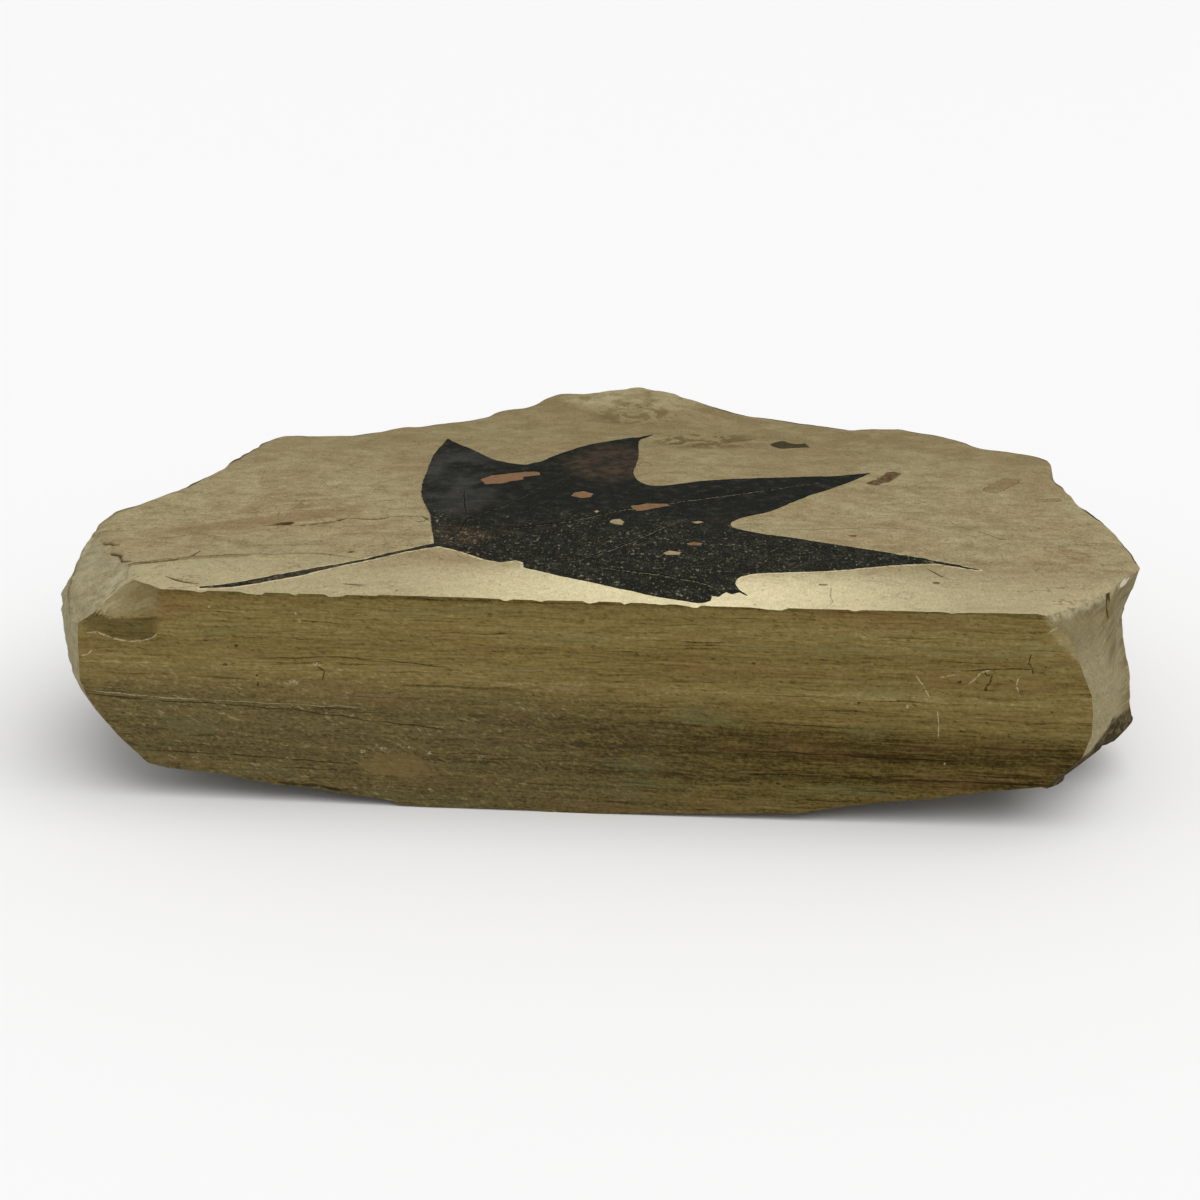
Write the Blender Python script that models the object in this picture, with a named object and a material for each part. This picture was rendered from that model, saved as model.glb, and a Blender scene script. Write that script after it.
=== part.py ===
"""Fossil leaf plate: a thick block of thin-bedded lake limestone, split along a bedding plane and sawn along
one edge, with a five-lobed leaf pressed flat in its split face and a scrap of another leaf beside it.

Shapes are worked out in millimetres and written to Blender in metres. In the drawing, X runs along the sawn
edge from its middle, Y runs back from the saw cut, and Z runs up from the face that the block rests on. The
finished pieces are then moved so that the middle of the block's footprint is the origin.
"""

import math

import bmesh
import bpy
from mathutils import Vector, noise

MM = 0.001

# Driving dimensions of the block.
THICKNESS = 78.5
HUMP_HEIGHT = 7.0
BLOCK_CENTRE = Vector((-5.0, 125.0))

# The broken outline of the split face, counterclockwise from the right end of the sawn edge.
RIM_OUTLINE = [
    (161, 10), (175, 26), (191, 52), (191, 72), (189, 91), (187, 112), (182, 125), (180, 147), (177, 166),
    (179, 184), (178, 198), (166, 207), (155, 210), (146, 222), (136, 232), (121, 241), (98, 238), (76, 249),
    (57, 259), (41, 259), (29, 263), (16, 275), (0, 285), (-13, 278), (-23, 274), (-39, 273), (-50, 256),
    (-64, 254), (-69, 246), (-98, 229), (-126, 210), (-156, 208), (-162, 195), (-165, 172), (-172, 137),
    (-179, 116), (-186, 100), (-193, 87), (-191, 66), (-187.5, 44), (-183.5, 20), (-178.5, 6),
]

# Where the saw cut ends, as (height, x): the right end flares out below the rim and the left end is undercut.
SAW_CUT_RIGHT = [
    (16.4, 155), (21, 160), (27.5, 166.5), (36, 169), (43.5, 168.7), (50, 167.8), (61, 163), (70, 158.8),
    (78.5, 150),
]
SAW_CUT_LEFT = [
    (13.5, -156.4), (23.5, -166), (31.5, -172), (38.5, -176), (44.5, -178), (53, -177.5), (61.5, -177),
    (71, -175.6), (78.5, -174),
]

# The lower edge of the sawn face, as (x, height): level in the middle, stepping up through the beds at the ends.
SAWN_FOOT = [
    (-156.4, 13.5), (-149, 11.8), (-129, 10.2), (-123.6, 8.8), (-110, 6.8), (-102, 6.6), (-88, 4.4),
    (-71, 2.4), (-67, 0.8), (-57, 0.2), (-45, 0.5), (-19, 0.4), (-16, 0), (4, 0), (38.5, 1.4), (73, 3.0),
    (83, 5.3), (91.6, 7), (107, 9.2), (117, 10.3), (135, 13.7), (155, 16.4),
]

# How the broken side leans: for each share of the way round from the saw cut's right end to its left end, the
# outward step in millimetres at each of SIDE_HEIGHTS, and the height of the lower edge there.
SIDE_HEIGHTS = (6, 14, 20, 29, 43, 60, 78.5)
SIDE_PROFILES = [
    (0.00, (-2, 2, 5, 12, 12, 6, 0), 15.5),
    (0.035, (-16, -15, -7, 3, 4, 2, 0), 13.0),
    (0.07, (-10, -1, 3, 1, -2, -4, 0), 9.5),
    (0.15, (-14, -3, 0, 2, 2, 0, 0), 10.0),
    (0.27, (-15, -8, -3, 2, 4, 3, 0), 11.0),
    (0.40, (-10, -3, 1, 4, 2, -2, 0), 8.0),
    (0.55, (-15, -8, -3, 2, 5, 2, 0), 10.0),
    (0.68, (-9, -4, 0, 4, 3, 1, 0), 9.0),
    (0.82, (-18, -10, -5, 1, 4, 2, 0), 13.0),
    (0.94, (-28, -20, -13, -3, 6, 8, 1), 14.0),
    (1.00, (-28, -20, -13, -4, 5, 8, 2), 13.5),
]

# Planes that shear off the edge of the split face: a point on each plane, and its outward normal.
CORNER_CHIPS = [
    (Vector((-151, 8, 78.5)), Vector((-0.276, -0.202, 0.94))),
    (Vector((176, 27, 78.5)), Vector((0.3, -0.26, 0.92))),
]

# The sawn face's upper left corner, where the chip took a wedge: how far left and how far down it reaches.
WEDGE_START_X = -150.0
WEDGE_LOWEST = 66.0
WEDGE_DEPTH = 0.85

# Mesh density of the block.
SAWN_POINTS = 48
SIDE_POINTS = 112
FOOT_BAND = 20.0
SAW_CUT_BLEND = 0.06
FOOT_RINGS = (0.0, 0.4, 0.7)
FLANK_RINGS = (0.0, 0.08, 0.18, 0.3, 0.42, 0.54, 0.66, 0.77, 0.87, 0.95, 1.0)
FACE_RINGS = (0.985, 0.955, 0.9, 0.82, 0.72, 0.58, 0.42, 0.22)
# Inward rings of the underside, each with the share of the edge's height that is left there: two ledges.
UNDERSIDE_RINGS = ((0.3, 0.0), (0.6, 0.0), (0.64, 0.42), (0.84, 0.46), (0.88, 0.9))

# The leaf, as (x, y, is_sharp) round its edge from the left of its stalk. Its lobes are A to E.
SHARP, SMOOTH = True, False
LEAF_OUTLINE = [
    (-62, 58, SHARP), (-66, 76, SMOOTH), (-69, 92, SHARP), (-75, 110, SMOOTH), (-79, 128, SMOOTH),
    (-81, 150, SMOOTH), (-82.5, 180, SMOOTH), (-81, 206, SHARP), (-68, 189, SMOOTH), (-55, 173, SMOOTH),
    (-44, 167, SMOOTH), (-36, 171, SMOOTH), (-30, 183, SMOOTH), (-18, 199, SMOOTH), (-4, 210, SMOOTH),
    (4.5, 214, SHARP), (4, 203, SMOOTH), (5.5, 180, SMOOTH), (5, 157, SMOOTH), (9, 142, SMOOTH),
    (18, 138, SMOOTH), (36, 147, SMOOTH), (60, 153, SMOOTH), (85, 158, SMOOTH), (103, 165, SHARP),
    (93, 150, SMOOTH), (73, 125, SMOOTH), (61, 107, SMOOTH), (50, 98, SMOOTH), (46, 90, SMOOTH),
    (50, 83, SMOOTH), (72, 73, SMOOTH), (97, 63, SMOOTH), (113, 55, SMOOTH), (122, 51.3, SMOOTH),
    (134, 44.5, SHARP), (119, 50, SHARP), (114, 49, SHARP), (101, 45.5, SMOOTH), (82, 38.5, SMOOTH),
    (55, 33.5, SMOOTH), (48.5, 23, SMOOTH), (53, 11, SHARP), (47, 12, SHARP), (42, 8, SHARP),
    (38, 2.5, SHARP), (32, 3.5, SMOOTH), (16, 10, SMOOTH), (-1, 19, SMOOTH), (-15, 26.5, SMOOTH),
    (-26, 33, SHARP), (-27, 39, SHARP), (-30, 41.5, SHARP), (-37, 39.5, SMOOTH), (-52, 50.5, SMOOTH),
    (-60, 55, SHARP),
]
# The stalk's lower and upper edge, from the leaf to the sawn edge: thin where the stone has closed over it.
STALK_LOWER = [(-73, 45.8), (-83, 35.8), (-94, 27.6), (-104, 18.8), (-114, 10.4), (-125, 2.8), (-133.5, 2.2)]
STALK_UPPER = [(-133.5, 3.8), (-127, 6.9), (-115, 15), (-105, 23), (-95, 30), (-84, 38.4), (-74, 48)]
SCRAP_OUTLINE = [
    (62, 209, SHARP), (67, 215, SMOOTH), (70, 212, SMOOTH), (74, 210, SMOOTH), (77, 211.5, SHARP),
    (79, 205, SHARP), (72, 204, SMOOTH), (67, 202.5, SMOOTH), (63.5, 205.5, SMOOTH),
]
CURVE_STEPS = 3

# The leaf is a film of carbon let into the stone: it stands just proud, with a running gap all round.
FILM_PROUD = 0.3
FILM_DEPTH = 0.6
FILM_GAP = 0.35


def ramp(low, high, value):
    """0 below low, 1 above high, and a smooth rise between them."""
    share = min(1.0, max(0.0, (value - low) / (high - low)))
    return share * share * (3.0 - 2.0 * share)


def read_table(table, at):
    """Straight-line reading of a list of (position, value) pairs."""
    for (low, before), (high, after) in zip(table, table[1:]):
        if at <= high:
            share = max(0.0, (at - low) / (high - low))
            return before + (after - before) * share
    return table[-1][1]


def walk(points, count):
    """count points at equal steps along an open run of straight lines, its two ends included."""
    lengths = [0.0]
    for a, b in zip(points, points[1:]):
        lengths.append(lengths[-1] + (Vector(b) - Vector(a)).length)
    xs = [(s, p[0]) for s, p in zip(lengths, points)]
    ys = [(s, p[1]) for s, p in zip(lengths, points)]
    steps = [lengths[-1] * i / (count - 1) for i in range(count)]
    return [Vector((read_table(xs, s), read_table(ys, s))) for s in steps]


def face_height(x, y):
    """Height of the split face: flat under the leaf, swelling up at the back, with a shallow scar beside it."""
    edge_of_swell = 12.0 + (y - 215.0) * 0.5
    swell = ramp(226.0, 282.0, y) * ramp(-92.0, -34.0, x) * (1.0 - ramp(edge_of_swell, edge_of_swell + 22.0, x))
    scar = max(0.0, 1.0 - ((x - 40.0) / 17.0) ** 2 - ((y - 238.0) / 18.0) ** 2)
    return THICKNESS + HUMP_HEIGHT * swell - 1.6 * scar


def side_step(share, z):
    """Outward step of the broken side from the rim, at a share of the way round and a height."""
    steps = [read_table(list(zip(SIDE_HEIGHTS, entry[1])), z) for entry in SIDE_PROFILES]
    return read_table([(entry[0], step) for entry, step in zip(SIDE_PROFILES, steps)], share)


def broken_grain(point):
    """Roughness of a broken side: slow hollows, and thin beds that each stand a little in or out."""
    hollows = 2.2 * noise.noise(point / 38.0) + 1.2 * noise.noise(point / 14.0)
    bed = noise.noise(Vector((point.x / 60.0, point.y / 60.0, math.floor(point.z / 7.0) * 3.7)))
    return hollows + 1.5 * bed


def broken_away(point):
    """The point, brought down onto any corner chip that it lies outside, and back where the wedge is missing."""
    on_saw_cut = point.y == 0.0
    for on_plane, normal in CORNER_CHIPS:
        over = (point - on_plane).dot(normal.normalized())
        if over > 0.0:
            point = point - normal.normalized() * over
    if on_saw_cut:
        point.y = wedge_depth(point.x, point.z)
    return point


def wedge_depth(x, z):
    """How far the sawn face is set back where its upper left corner broke away."""
    share = ramp(WEDGE_LOWEST, THICKNESS, z)
    return max(0.0, WEDGE_START_X - x) * WEDGE_DEPTH * share


def ring_at(height, foot_share=1.0):
    """One closed ring round the block. A level ring at this height, or one drawn down towards the lower edge,
    which it reaches where foot_share is 0."""

    def drawn_down(foot):
        return foot + (height - foot) * foot_share

    corner_heights = [drawn_down(foot) for foot in (SAWN_FOOT[0][1], SAWN_FOOT[-1][1])]
    x_left = read_table(SAW_CUT_LEFT, corner_heights[0])
    x_right = read_table(SAW_CUT_RIGHT, corner_heights[1])
    ring = []
    for i in range(SAWN_POINTS):
        x = x_left + (x_right - x_left) * i / (SAWN_POINTS - 1)
        ring.append(Vector((x, 0.0, drawn_down(read_table(SAWN_FOOT, x)))))
    saw_corners = [(150.0, 0.0), (SAW_CUT_LEFT[-1][1], 0.0)]
    rim = walk([saw_corners[0], *RIM_OUTLINE, saw_corners[1]], SIDE_POINTS + 2)
    for i in range(1, SIDE_POINTS + 1):
        share = i / (SIDE_POINTS + 1)
        along = (rim[i + 1] - rim[i - 1]).normalized()
        outward = Vector((along.y, -along.x))
        foot = read_table([(entry[0], entry[2]) for entry in SIDE_PROFILES], share)
        z = drawn_down(foot)
        near_cut = 1.0 - ramp(0.0, SAW_CUT_BLEND, min(share, 1.0 - share))
        step_at_cut = x_right - saw_corners[0][0] if share < 0.5 else x_left - saw_corners[1][0]
        rough = broken_grain(Vector((rim[i].x, rim[i].y, z))) * ramp(THICKNESS, THICKNESS - 15.0, z)
        place = rim[i] + outward * (side_step(share, z) + rough) * (1.0 - near_cut)
        place.x += step_at_cut * near_cut
        ring.append(Vector((place.x, max(place.y, 0.05), z)))
    return ring


def shrunk(ring, keep):
    """The ring drawn in towards the middle of the block, in plan."""
    centre = BLOCK_CENTRE
    return [Vector((centre.x + (p.x - centre.x) * keep, centre.y + (p.y - centre.y) * keep, p.z)) for p in ring]


def block_rings():
    """All the rings of the block, from the middle of the underside, up the side, to the middle of the face."""
    foot_rings = [ring_at(FOOT_BAND, share) for share in FOOT_RINGS]
    underside = []
    for keep, height_left in UNDERSIDE_RINGS:
        underside.append([Vector((p.x, p.y, p.z * height_left)) for p in shrunk(foot_rings[0], keep)])
    flank = []
    for share in FLANK_RINGS:
        lift = share ** 3
        ring = ring_at(FOOT_BAND + (THICKNESS - FOOT_BAND) * share)
        flank.append([Vector((p.x, p.y, p.z + (face_height(p.x, p.y) - THICKNESS) * lift)) for p in ring])
    face = []
    for keep in FACE_RINGS:
        face.append([Vector((p.x, p.y, face_height(p.x, p.y))) for p in shrunk(flank[-1], keep)])
    rings = underside + foot_rings + flank + face
    return [[broken_away(p) for p in ring] for ring in rings]


def make_mesh_object(name, build, material, collection):
    """A named mesh object whose bmesh, in millimetres, is filled in by build."""
    mesh = bpy.data.meshes.new(name)
    shape = bmesh.new()
    build(shape)
    bmesh.ops.scale(shape, vec=(MM, MM, MM), verts=shape.verts)
    bmesh.ops.recalc_face_normals(shape, faces=shape.faces)
    shape.to_mesh(mesh)
    shape.free()
    mesh.materials.append(material)
    placed = bpy.data.objects.new(name, mesh)
    collection.objects.link(placed)
    return placed


def loft_block(shape):
    """Joins the unlike rings of the block band by band, and closes each end with a fan to its middle."""
    rings = [[shape.verts.new(p) for p in ring] for ring in block_rings()]
    count = len(rings[0])
    for lower, upper in zip(rings, rings[1:]):
        for i in range(count):
            j = (i + 1) % count
            shape.faces.new((lower[i], lower[j], upper[j], upper[i]))
    for ring, z in ((rings[0], 0.0), (rings[-1], THICKNESS)):
        middle = shape.verts.new((BLOCK_CENTRE.x, BLOCK_CENTRE.y, z))
        for i in range(count):
            shape.faces.new((ring[i], ring[(i + 1) % count], middle))
    bmesh.ops.triangulate(shape, faces=shape.faces)


def curved(outline, steps):
    """The outline with a smooth curve through its points, which stops and turns at the sharp ones."""
    points = [Vector(p[:2]) for p in outline]
    sharp = [p[2] for p in outline]
    count = len(points)
    drawn = []
    for i in range(count):
        a, b = points[i], points[(i + 1) % count]
        leave = Vector((0, 0)) if sharp[i] else (b - points[i - 1]) * 0.5
        arrive = Vector((0, 0)) if sharp[(i + 1) % count] else (points[(i + 2) % count] - a) * 0.5
        if sharp[i]:
            leave = (b - a) - arrive * 0.35
        if sharp[(i + 1) % count]:
            arrive = (b - a) - leave * 0.35
        for k in range(steps):
            t = k / steps
            drawn.append(
                a * (2 * t**3 - 3 * t**2 + 1) + leave * (t**3 - 2 * t**2 + t)
                + b * (3 * t**2 - 2 * t**3) + arrive * (t**3 - t**2)
            )
    return drawn


def grown(points, by):
    """The closed outline moved outward by a distance, with its sharp tips kept blunt."""
    area = sum(a.x * b.y - b.x * a.y for a, b in zip(points, points[1:] + points[:1]))
    side = 1.0 if area > 0 else -1.0
    moved = []
    for before, here, after in zip(points[-1:] + points[:-1], points, points[1:] + points[:1]):
        first = (here - before).normalized()
        second = (after - here).normalized()
        normal = Vector((first.y + second.y, -first.x - second.x)) * side
        corner = max(0.4, normal.length / 2.0)
        moved.append(here + normal.normalized() * by / corner)
    return moved


def make_sheet(name, points, low, high, material, collection):
    """A flat piece cut to a closed outline, from height low to height high, as a filled 2D curve."""
    curve = bpy.data.curves.new(name, "CURVE")
    curve.dimensions = "2D"
    curve.fill_mode = "BOTH"
    curve.extrude = (high - low) / 2.0 * MM
    spline = curve.splines.new("POLY")
    spline.points.add(len(points) - 1)
    for knot, p in zip(spline.points, points):
        knot.co = (p.x * MM, p.y * MM, 0.0, 1.0)
    spline.use_cyclic_u = True
    sheet = bpy.data.objects.new(name, curve)
    sheet.location.z = (low + high) / 2.0 * MM
    collection.objects.link(sheet)
    bpy.context.view_layer.update()
    evaluated = sheet.evaluated_get(bpy.context.evaluated_depsgraph_get())
    mesh = bpy.data.meshes.new_from_object(evaluated)
    welded = bmesh.new()
    welded.from_mesh(mesh)
    bmesh.ops.remove_doubles(welded, verts=welded.verts, dist=0.00001)
    bmesh.ops.recalc_face_normals(welded, faces=welded.faces)
    welded.to_mesh(mesh)
    welded.free()
    mesh.transform(sheet.matrix_world)
    bpy.data.objects.remove(sheet)
    mesh.materials.clear()
    mesh.materials.append(material)
    solid = bpy.data.objects.new(name, mesh)
    collection.objects.link(solid)
    return solid


def leaf_points():
    """The leaf's edge: the blade, and its stalk running out to the sawn edge."""
    blade = curved(LEAF_OUTLINE, CURVE_STEPS)[: -CURVE_STEPS + 1]
    stalk = [Vector(p) for p in STALK_LOWER + STALK_UPPER]
    return blade + stalk


def make_material(name, colour, roughness):
    material = bpy.data.materials.new(name)
    material.use_nodes = True
    shader = material.node_tree.nodes["Principled BSDF"]
    shader.inputs["Base Color"].default_value = (*colour, 1.0)
    shader.inputs["Roughness"].default_value = roughness
    shader.inputs["Metallic"].default_value = 0.0
    return material


def let_in(block, name, points, film, cutters):
    """Cuts a shallow bed in the block, a little wider and deeper than the film that lies in it."""
    floor = THICKNESS + FILM_PROUD - FILM_DEPTH - FILM_GAP
    cutter = make_sheet(name + "_bed", grown(points, FILM_GAP), floor, THICKNESS + 5.0, film, cutters)
    cutter.hide_render = True
    cutter.display_type = "WIRE"
    cut = block.modifiers.new(name + "_bed", "BOOLEAN")
    cut.operation = "DIFFERENCE"
    cut.solver = "EXACT"
    cut.object = cutter


def centre_on_footprint(pieces, block):
    """Moves every piece so that the middle of the block's footprint is the origin."""
    xs = [v.co.x for v in block.data.vertices]
    ys = [v.co.y for v in block.data.vertices]
    shift = Vector(((min(xs) + max(xs)) / 2.0, (min(ys) + max(ys)) / 2.0, 0.0))
    for piece in pieces:
        piece.location -= shift


def main():
    for old in list(bpy.data.objects):
        bpy.data.objects.remove(old)
    plate = bpy.data.collections.new("fossil_leaf_plate")
    cutters = bpy.data.collections.new("cutters")
    for collection in (plate, cutters):
        bpy.context.scene.collection.children.link(collection)

    limestone = make_material("limestone", (0.30, 0.24, 0.13), 0.85)
    carbon = make_material("carbon_film", (0.030, 0.031, 0.023), 0.6)

    block = make_mesh_object("limestone_block", loft_block, limestone, plate)
    leaf_edge = leaf_points()
    scrap_edge = curved(SCRAP_OUTLINE, CURVE_STEPS)
    top, bottom = THICKNESS + FILM_PROUD, THICKNESS + FILM_PROUD - FILM_DEPTH
    leaf = make_sheet("leaf", leaf_edge, bottom, top, carbon, plate)
    scrap = make_sheet("leaf_scrap", scrap_edge, bottom, top, carbon, plate)
    let_in(block, "leaf", leaf_edge, carbon, cutters)
    let_in(block, "leaf_scrap", scrap_edge, carbon, cutters)
    centre_on_footprint([block, leaf, scrap, *cutters.objects], block)


main()
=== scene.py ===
"""Looks of the fossil leaf plate: the stone's surfaces and the leaf's carbon film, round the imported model.

Shapes are worked out in millimetres in the model's drawing: X runs along the sawn edge from its middle,
Y runs back from the saw cut, and Z runs up from the face that the block rests on. They are then shifted and
scaled to the frame. The pieces are three closed meshes: the block, the leaf and the leaf scrap.
"""

import math

import bpy
import numpy as np
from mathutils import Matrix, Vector, noise
from mathutils.geometry import delaunay_2d_cdt


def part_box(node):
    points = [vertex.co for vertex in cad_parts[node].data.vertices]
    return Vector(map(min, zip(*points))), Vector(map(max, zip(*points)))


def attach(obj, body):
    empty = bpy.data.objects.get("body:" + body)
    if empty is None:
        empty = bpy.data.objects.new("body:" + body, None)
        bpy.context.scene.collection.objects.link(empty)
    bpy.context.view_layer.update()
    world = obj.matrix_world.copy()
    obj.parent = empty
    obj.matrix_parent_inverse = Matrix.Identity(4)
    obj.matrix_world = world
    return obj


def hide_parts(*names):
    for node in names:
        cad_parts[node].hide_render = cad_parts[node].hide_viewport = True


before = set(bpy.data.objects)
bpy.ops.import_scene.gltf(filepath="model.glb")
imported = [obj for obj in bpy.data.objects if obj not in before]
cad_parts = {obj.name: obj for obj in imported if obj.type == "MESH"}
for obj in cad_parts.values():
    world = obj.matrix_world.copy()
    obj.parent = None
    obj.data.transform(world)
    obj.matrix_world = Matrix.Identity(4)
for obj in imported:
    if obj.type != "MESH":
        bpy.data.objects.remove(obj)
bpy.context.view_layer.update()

MM = 0.001
BODY = "root"

# Driving dimensions of the block, as in the model.
THICKNESS = 78.5
# The hump at the back, which rises along X and Y and falls off past a slanting right edge, and the scar.
HUMP_HEIGHT = 7.0
HUMP_RISE_X = (-92.0, -34.0)
HUMP_RISE_Y = (226.0, 282.0)
HUMP_RIGHT_EDGE = (12.0, 215.0)
HUMP_EDGE_SLOPE = 0.5
HUMP_FALL = 22.0
SCAR_CENTRE = (40.0, 238.0)
SCAR_HALF_SIZES = (17.0, 18.0)
SCAR_DEPTH = 1.6
# Places in plan: the middle of the underside, the stalk's end and the two ends of the sawn edge.
BLOCK_CENTRE = np.array((-5.0, 125.0))
STALK_END_X = -133.5
SAW_TOP_RIGHT = 150.0
SAW_TOP_LEFT = -174.0

RIM_OUTLINE = [
    (161, 10), (175, 26), (191, 52), (191, 72), (189, 91), (187, 112), (182, 125), (180, 147), (177, 166),
    (179, 184), (178, 198), (166, 207), (155, 210), (146, 222), (136, 232), (121, 241), (98, 238), (76, 249),
    (57, 259), (41, 259), (29, 263), (16, 275), (0, 285), (-13, 278), (-23, 274), (-39, 273), (-50, 256),
    (-64, 254), (-69, 246), (-98, 229), (-126, 210), (-156, 208), (-162, 195), (-165, 172), (-172, 137),
    (-179, 116), (-186, 100), (-193, 87), (-191, 66), (-187.5, 44), (-183.5, 20), (-178.5, 6),
]
SAW_CUT_RIGHT = [
    (16.4, 155), (21, 160), (27.5, 166.5), (36, 169), (43.5, 168.7), (50, 167.8), (61, 163), (70, 158.8),
    (78.5, SAW_TOP_RIGHT),
]
SAW_CUT_LEFT = [
    (13.5, -156.4), (23.5, -166), (31.5, -172), (38.5, -176), (44.5, -178), (53, -177.5), (61.5, -177),
    (71, -175.6), (78.5, SAW_TOP_LEFT),
]
SAWN_FOOT = [
    (-156.4, 13.5), (-149, 11.8), (-129, 10.2), (-123.6, 8.8), (-110, 6.8), (-102, 6.6), (-88, 4.4),
    (-71, 2.4), (-67, 0.8), (-57, 0.2), (-45, 0.5), (-19, 0.4), (-16, 0), (4, 0), (38.5, 1.4), (73, 3.0),
    (83, 5.3), (91.6, 7), (107, 9.2), (117, 10.3), (135, 13.7), (155, 16.4),
]
SIDE_HEIGHTS = (6, 14, 20, 29, 43, 60, 78.5)
SIDE_PROFILES = [
    (0.00, (-2, 2, 5, 12, 12, 6, 0), 15.5),
    (0.035, (-16, -15, -7, 3, 4, 2, 0), 13.0),
    (0.07, (-10, -1, 3, 1, -2, -4, 0), 9.5),
    (0.15, (-14, -3, 0, 2, 2, 0, 0), 10.0),
    (0.27, (-15, -8, -3, 2, 4, 3, 0), 11.0),
    (0.40, (-10, -3, 1, 4, 2, -2, 0), 8.0),
    (0.55, (-15, -8, -3, 2, 5, 2, 0), 10.0),
    (0.68, (-9, -4, 0, 4, 3, 1, 0), 9.0),
    (0.82, (-18, -10, -5, 1, 4, 2, 0), 13.0),
    (0.94, (-28, -20, -13, -3, 7, 11, 1), 14.0),
    (1.00, (-28, -20, -13, -4, 6, 11, 2), 13.5),
]
CORNER_CHIPS = [
    ((-151, 8, 78.5), (-0.276, -0.202, 0.94)),
    ((176, 27, 78.5), (0.3, -0.26, 0.92)),
]
SAW_CUT_BLEND = 0.06
# A chip's ripples spread from its own point moved outward: X times the first number, Y less the second.
RIPPLE_CENTRE = (1.35, 40.0)
RIPPLE_DEPTH = 0.2
RIPPLE_SPACING = 1.5

# The upper left corner: the ridge between chip and wedge in plan, and the steeper surface beside it.
CHIP_RIDGE = [(-158.9, 10.1), (-171.5, 1.5)]
RIDGE_TOP = (-158.9, 10.1, THICKNESS)
RIDGE_SLOPE = (0.60, 0.223)
RIDGE_REACH = (4.0, 24.0)
WEDGE_START_X = -146.0
WEDGE_LEDGE = [(-173, 70.5), (-169.5, 68.9), (-165.7, 67.6), (-159.7, 67.7), (-151, 68.4), (-146, 69.4)]
WEDGE_DEPTH = 0.77
# The shallow flake scar under the wedge's ledge: its lower lip as (x, height), and its depth.
FLAKE_LIP = [
    (-174, 62.6), (-170, 62.6), (-165, 60.3), (-159.5, 59.7), (-154.5, 59.8), (-151, 61), (-148.5, 63),
]
FLAKE_DEPTH = 1.1
# The bevel at the upper right end of the saw cut, as (height, x) of its inner edge.
RIGHT_BEVEL = [(61, 163), (64.6, 159.2), (67.1, 156.1), (69.8, 154), (74.7, 151), (78.5, 148.6)]
BEVEL_SLOPE = 0.3
# Height of the belly's lower edge round the broken side, by share of the way round: undercut below it.
BELLY_EDGE = [
    (0, 27.4), (0.004, 29), (0.008, 33), (0.012, 36), (0.02, 39.5), (0.028, 41), (0.038, 36), (0.05, 29),
    (0.07, 26), (0.1, 24), (0.2, 21), (0.4, 18), (0.6, 20), (0.8, 22), (0.93, 24), (1.0, 20),
]
BELLY_LEDGE = 1.6
CRUMB_DEPTH = 0.7
# Wear of the split face's broken rim, and nicks along the saw cut.
RIM_WEAR = 1.1
RIM_WEAR_SWING = 0.9
LUMP_HEIGHT = 0.5
NICK_DEPTH = 1.6
# How strong the fine breaks are round the broken side: weak on the two clean fractures beside the saw cut.
BREAK_STRENGTH = [
    (0, 0.08), (0.075, 0.14), (0.13, 0.5), (0.2, 1.0), (0.7, 1.0), (0.8, 1.5), (0.95, 1.4), (1.0, 0.4),
]
END_SHARE = 0.08
# The underside's ledges: how far out each rise is, and the share of the lower edge's height left there.
UNDERSIDE_LEDGES = [(0.0, 0.0), (0.6, 0.0), (0.64, 0.42), (0.84, 0.46), (0.88, 0.9), (1.0, 1.0)]

# Mesh density, in millimetres or counts.
SAWN_COLUMNS = 280
SIDE_COLUMNS = 430
LEVELS = 84
LIP_LEVEL = 64
LEDGE_LEVEL = 73
DENSE_LEVELS = 240
SPLIT_GRID = 1.9
UNDERSIDE_GRID = 3.6
LEAF_GRID = 1.25
STROKE_STEP = 1.2
# How far the columns rise over the hump before they are cut at the face, and a distance beyond all others.
HEADROOM = 6.0
FAR = 1e9

# The leaf's edge from the left of its stalk, as smooth runs that each start at a sharp corner.
LEAF_OUTLINE = [
    [(-62, 58), (-66, 76)], [(-69, 92), (-75, 110), (-79, 128), (-81, 150), (-82.5, 180)],
    [(-81, 206), (-68, 189), (-55, 173), (-44, 167), (-36, 171), (-30, 183), (-18, 199), (-4, 210)],
    [(3.5, 214)], [(10, 219.5)], [(4.5, 211), (4, 203), (5.5, 180), (5, 157), (9, 142), (18, 138),
     (36, 147), (60, 153), (85, 158)], [(103, 165), (93, 150), (73, 125), (61, 107), (50, 98), (46, 90),
     (50, 83), (72, 73), (97, 63), (113, 55), (122, 51.3)], [(134, 44.5)], [(119, 50)],
    [(114, 49), (101, 45.5), (82, 38.5), (55, 33.5), (48.5, 23)], [(53, 11)], [(50, 14.5)],
    [(47.5, 12)], [(45.5, 14)], [(43, 9)], [(41, 9.5)], [(40.5, 5)], [(38, 2.5), (32, 3.5), (16, 10),
     (-1, 19), (-15, 26.5)], [(-26, 33)], [(-27, 39)], [(-30, 41.5), (-37, 39.5), (-52, 50.5)],
    [(-60, 55)],
]
STALK_LOWER = [
    (-72, 46.9), (-83, 36.9), (-92, 29.6), (-97, 25), (-101, 20.5), (-106, 16.4), (-114, 10), (-122, 4.8),
    (-127, 3.4), (-133.5, 2.4),
]
STALK_UPPER = [
    (-133.5, 3.4), (-128, 5.6), (-121, 9.6), (-112, 17.2), (-104, 23.8), (-98, 28), (-93, 31), (-84, 38.1),
    (-73, 48.4),
]
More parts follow.
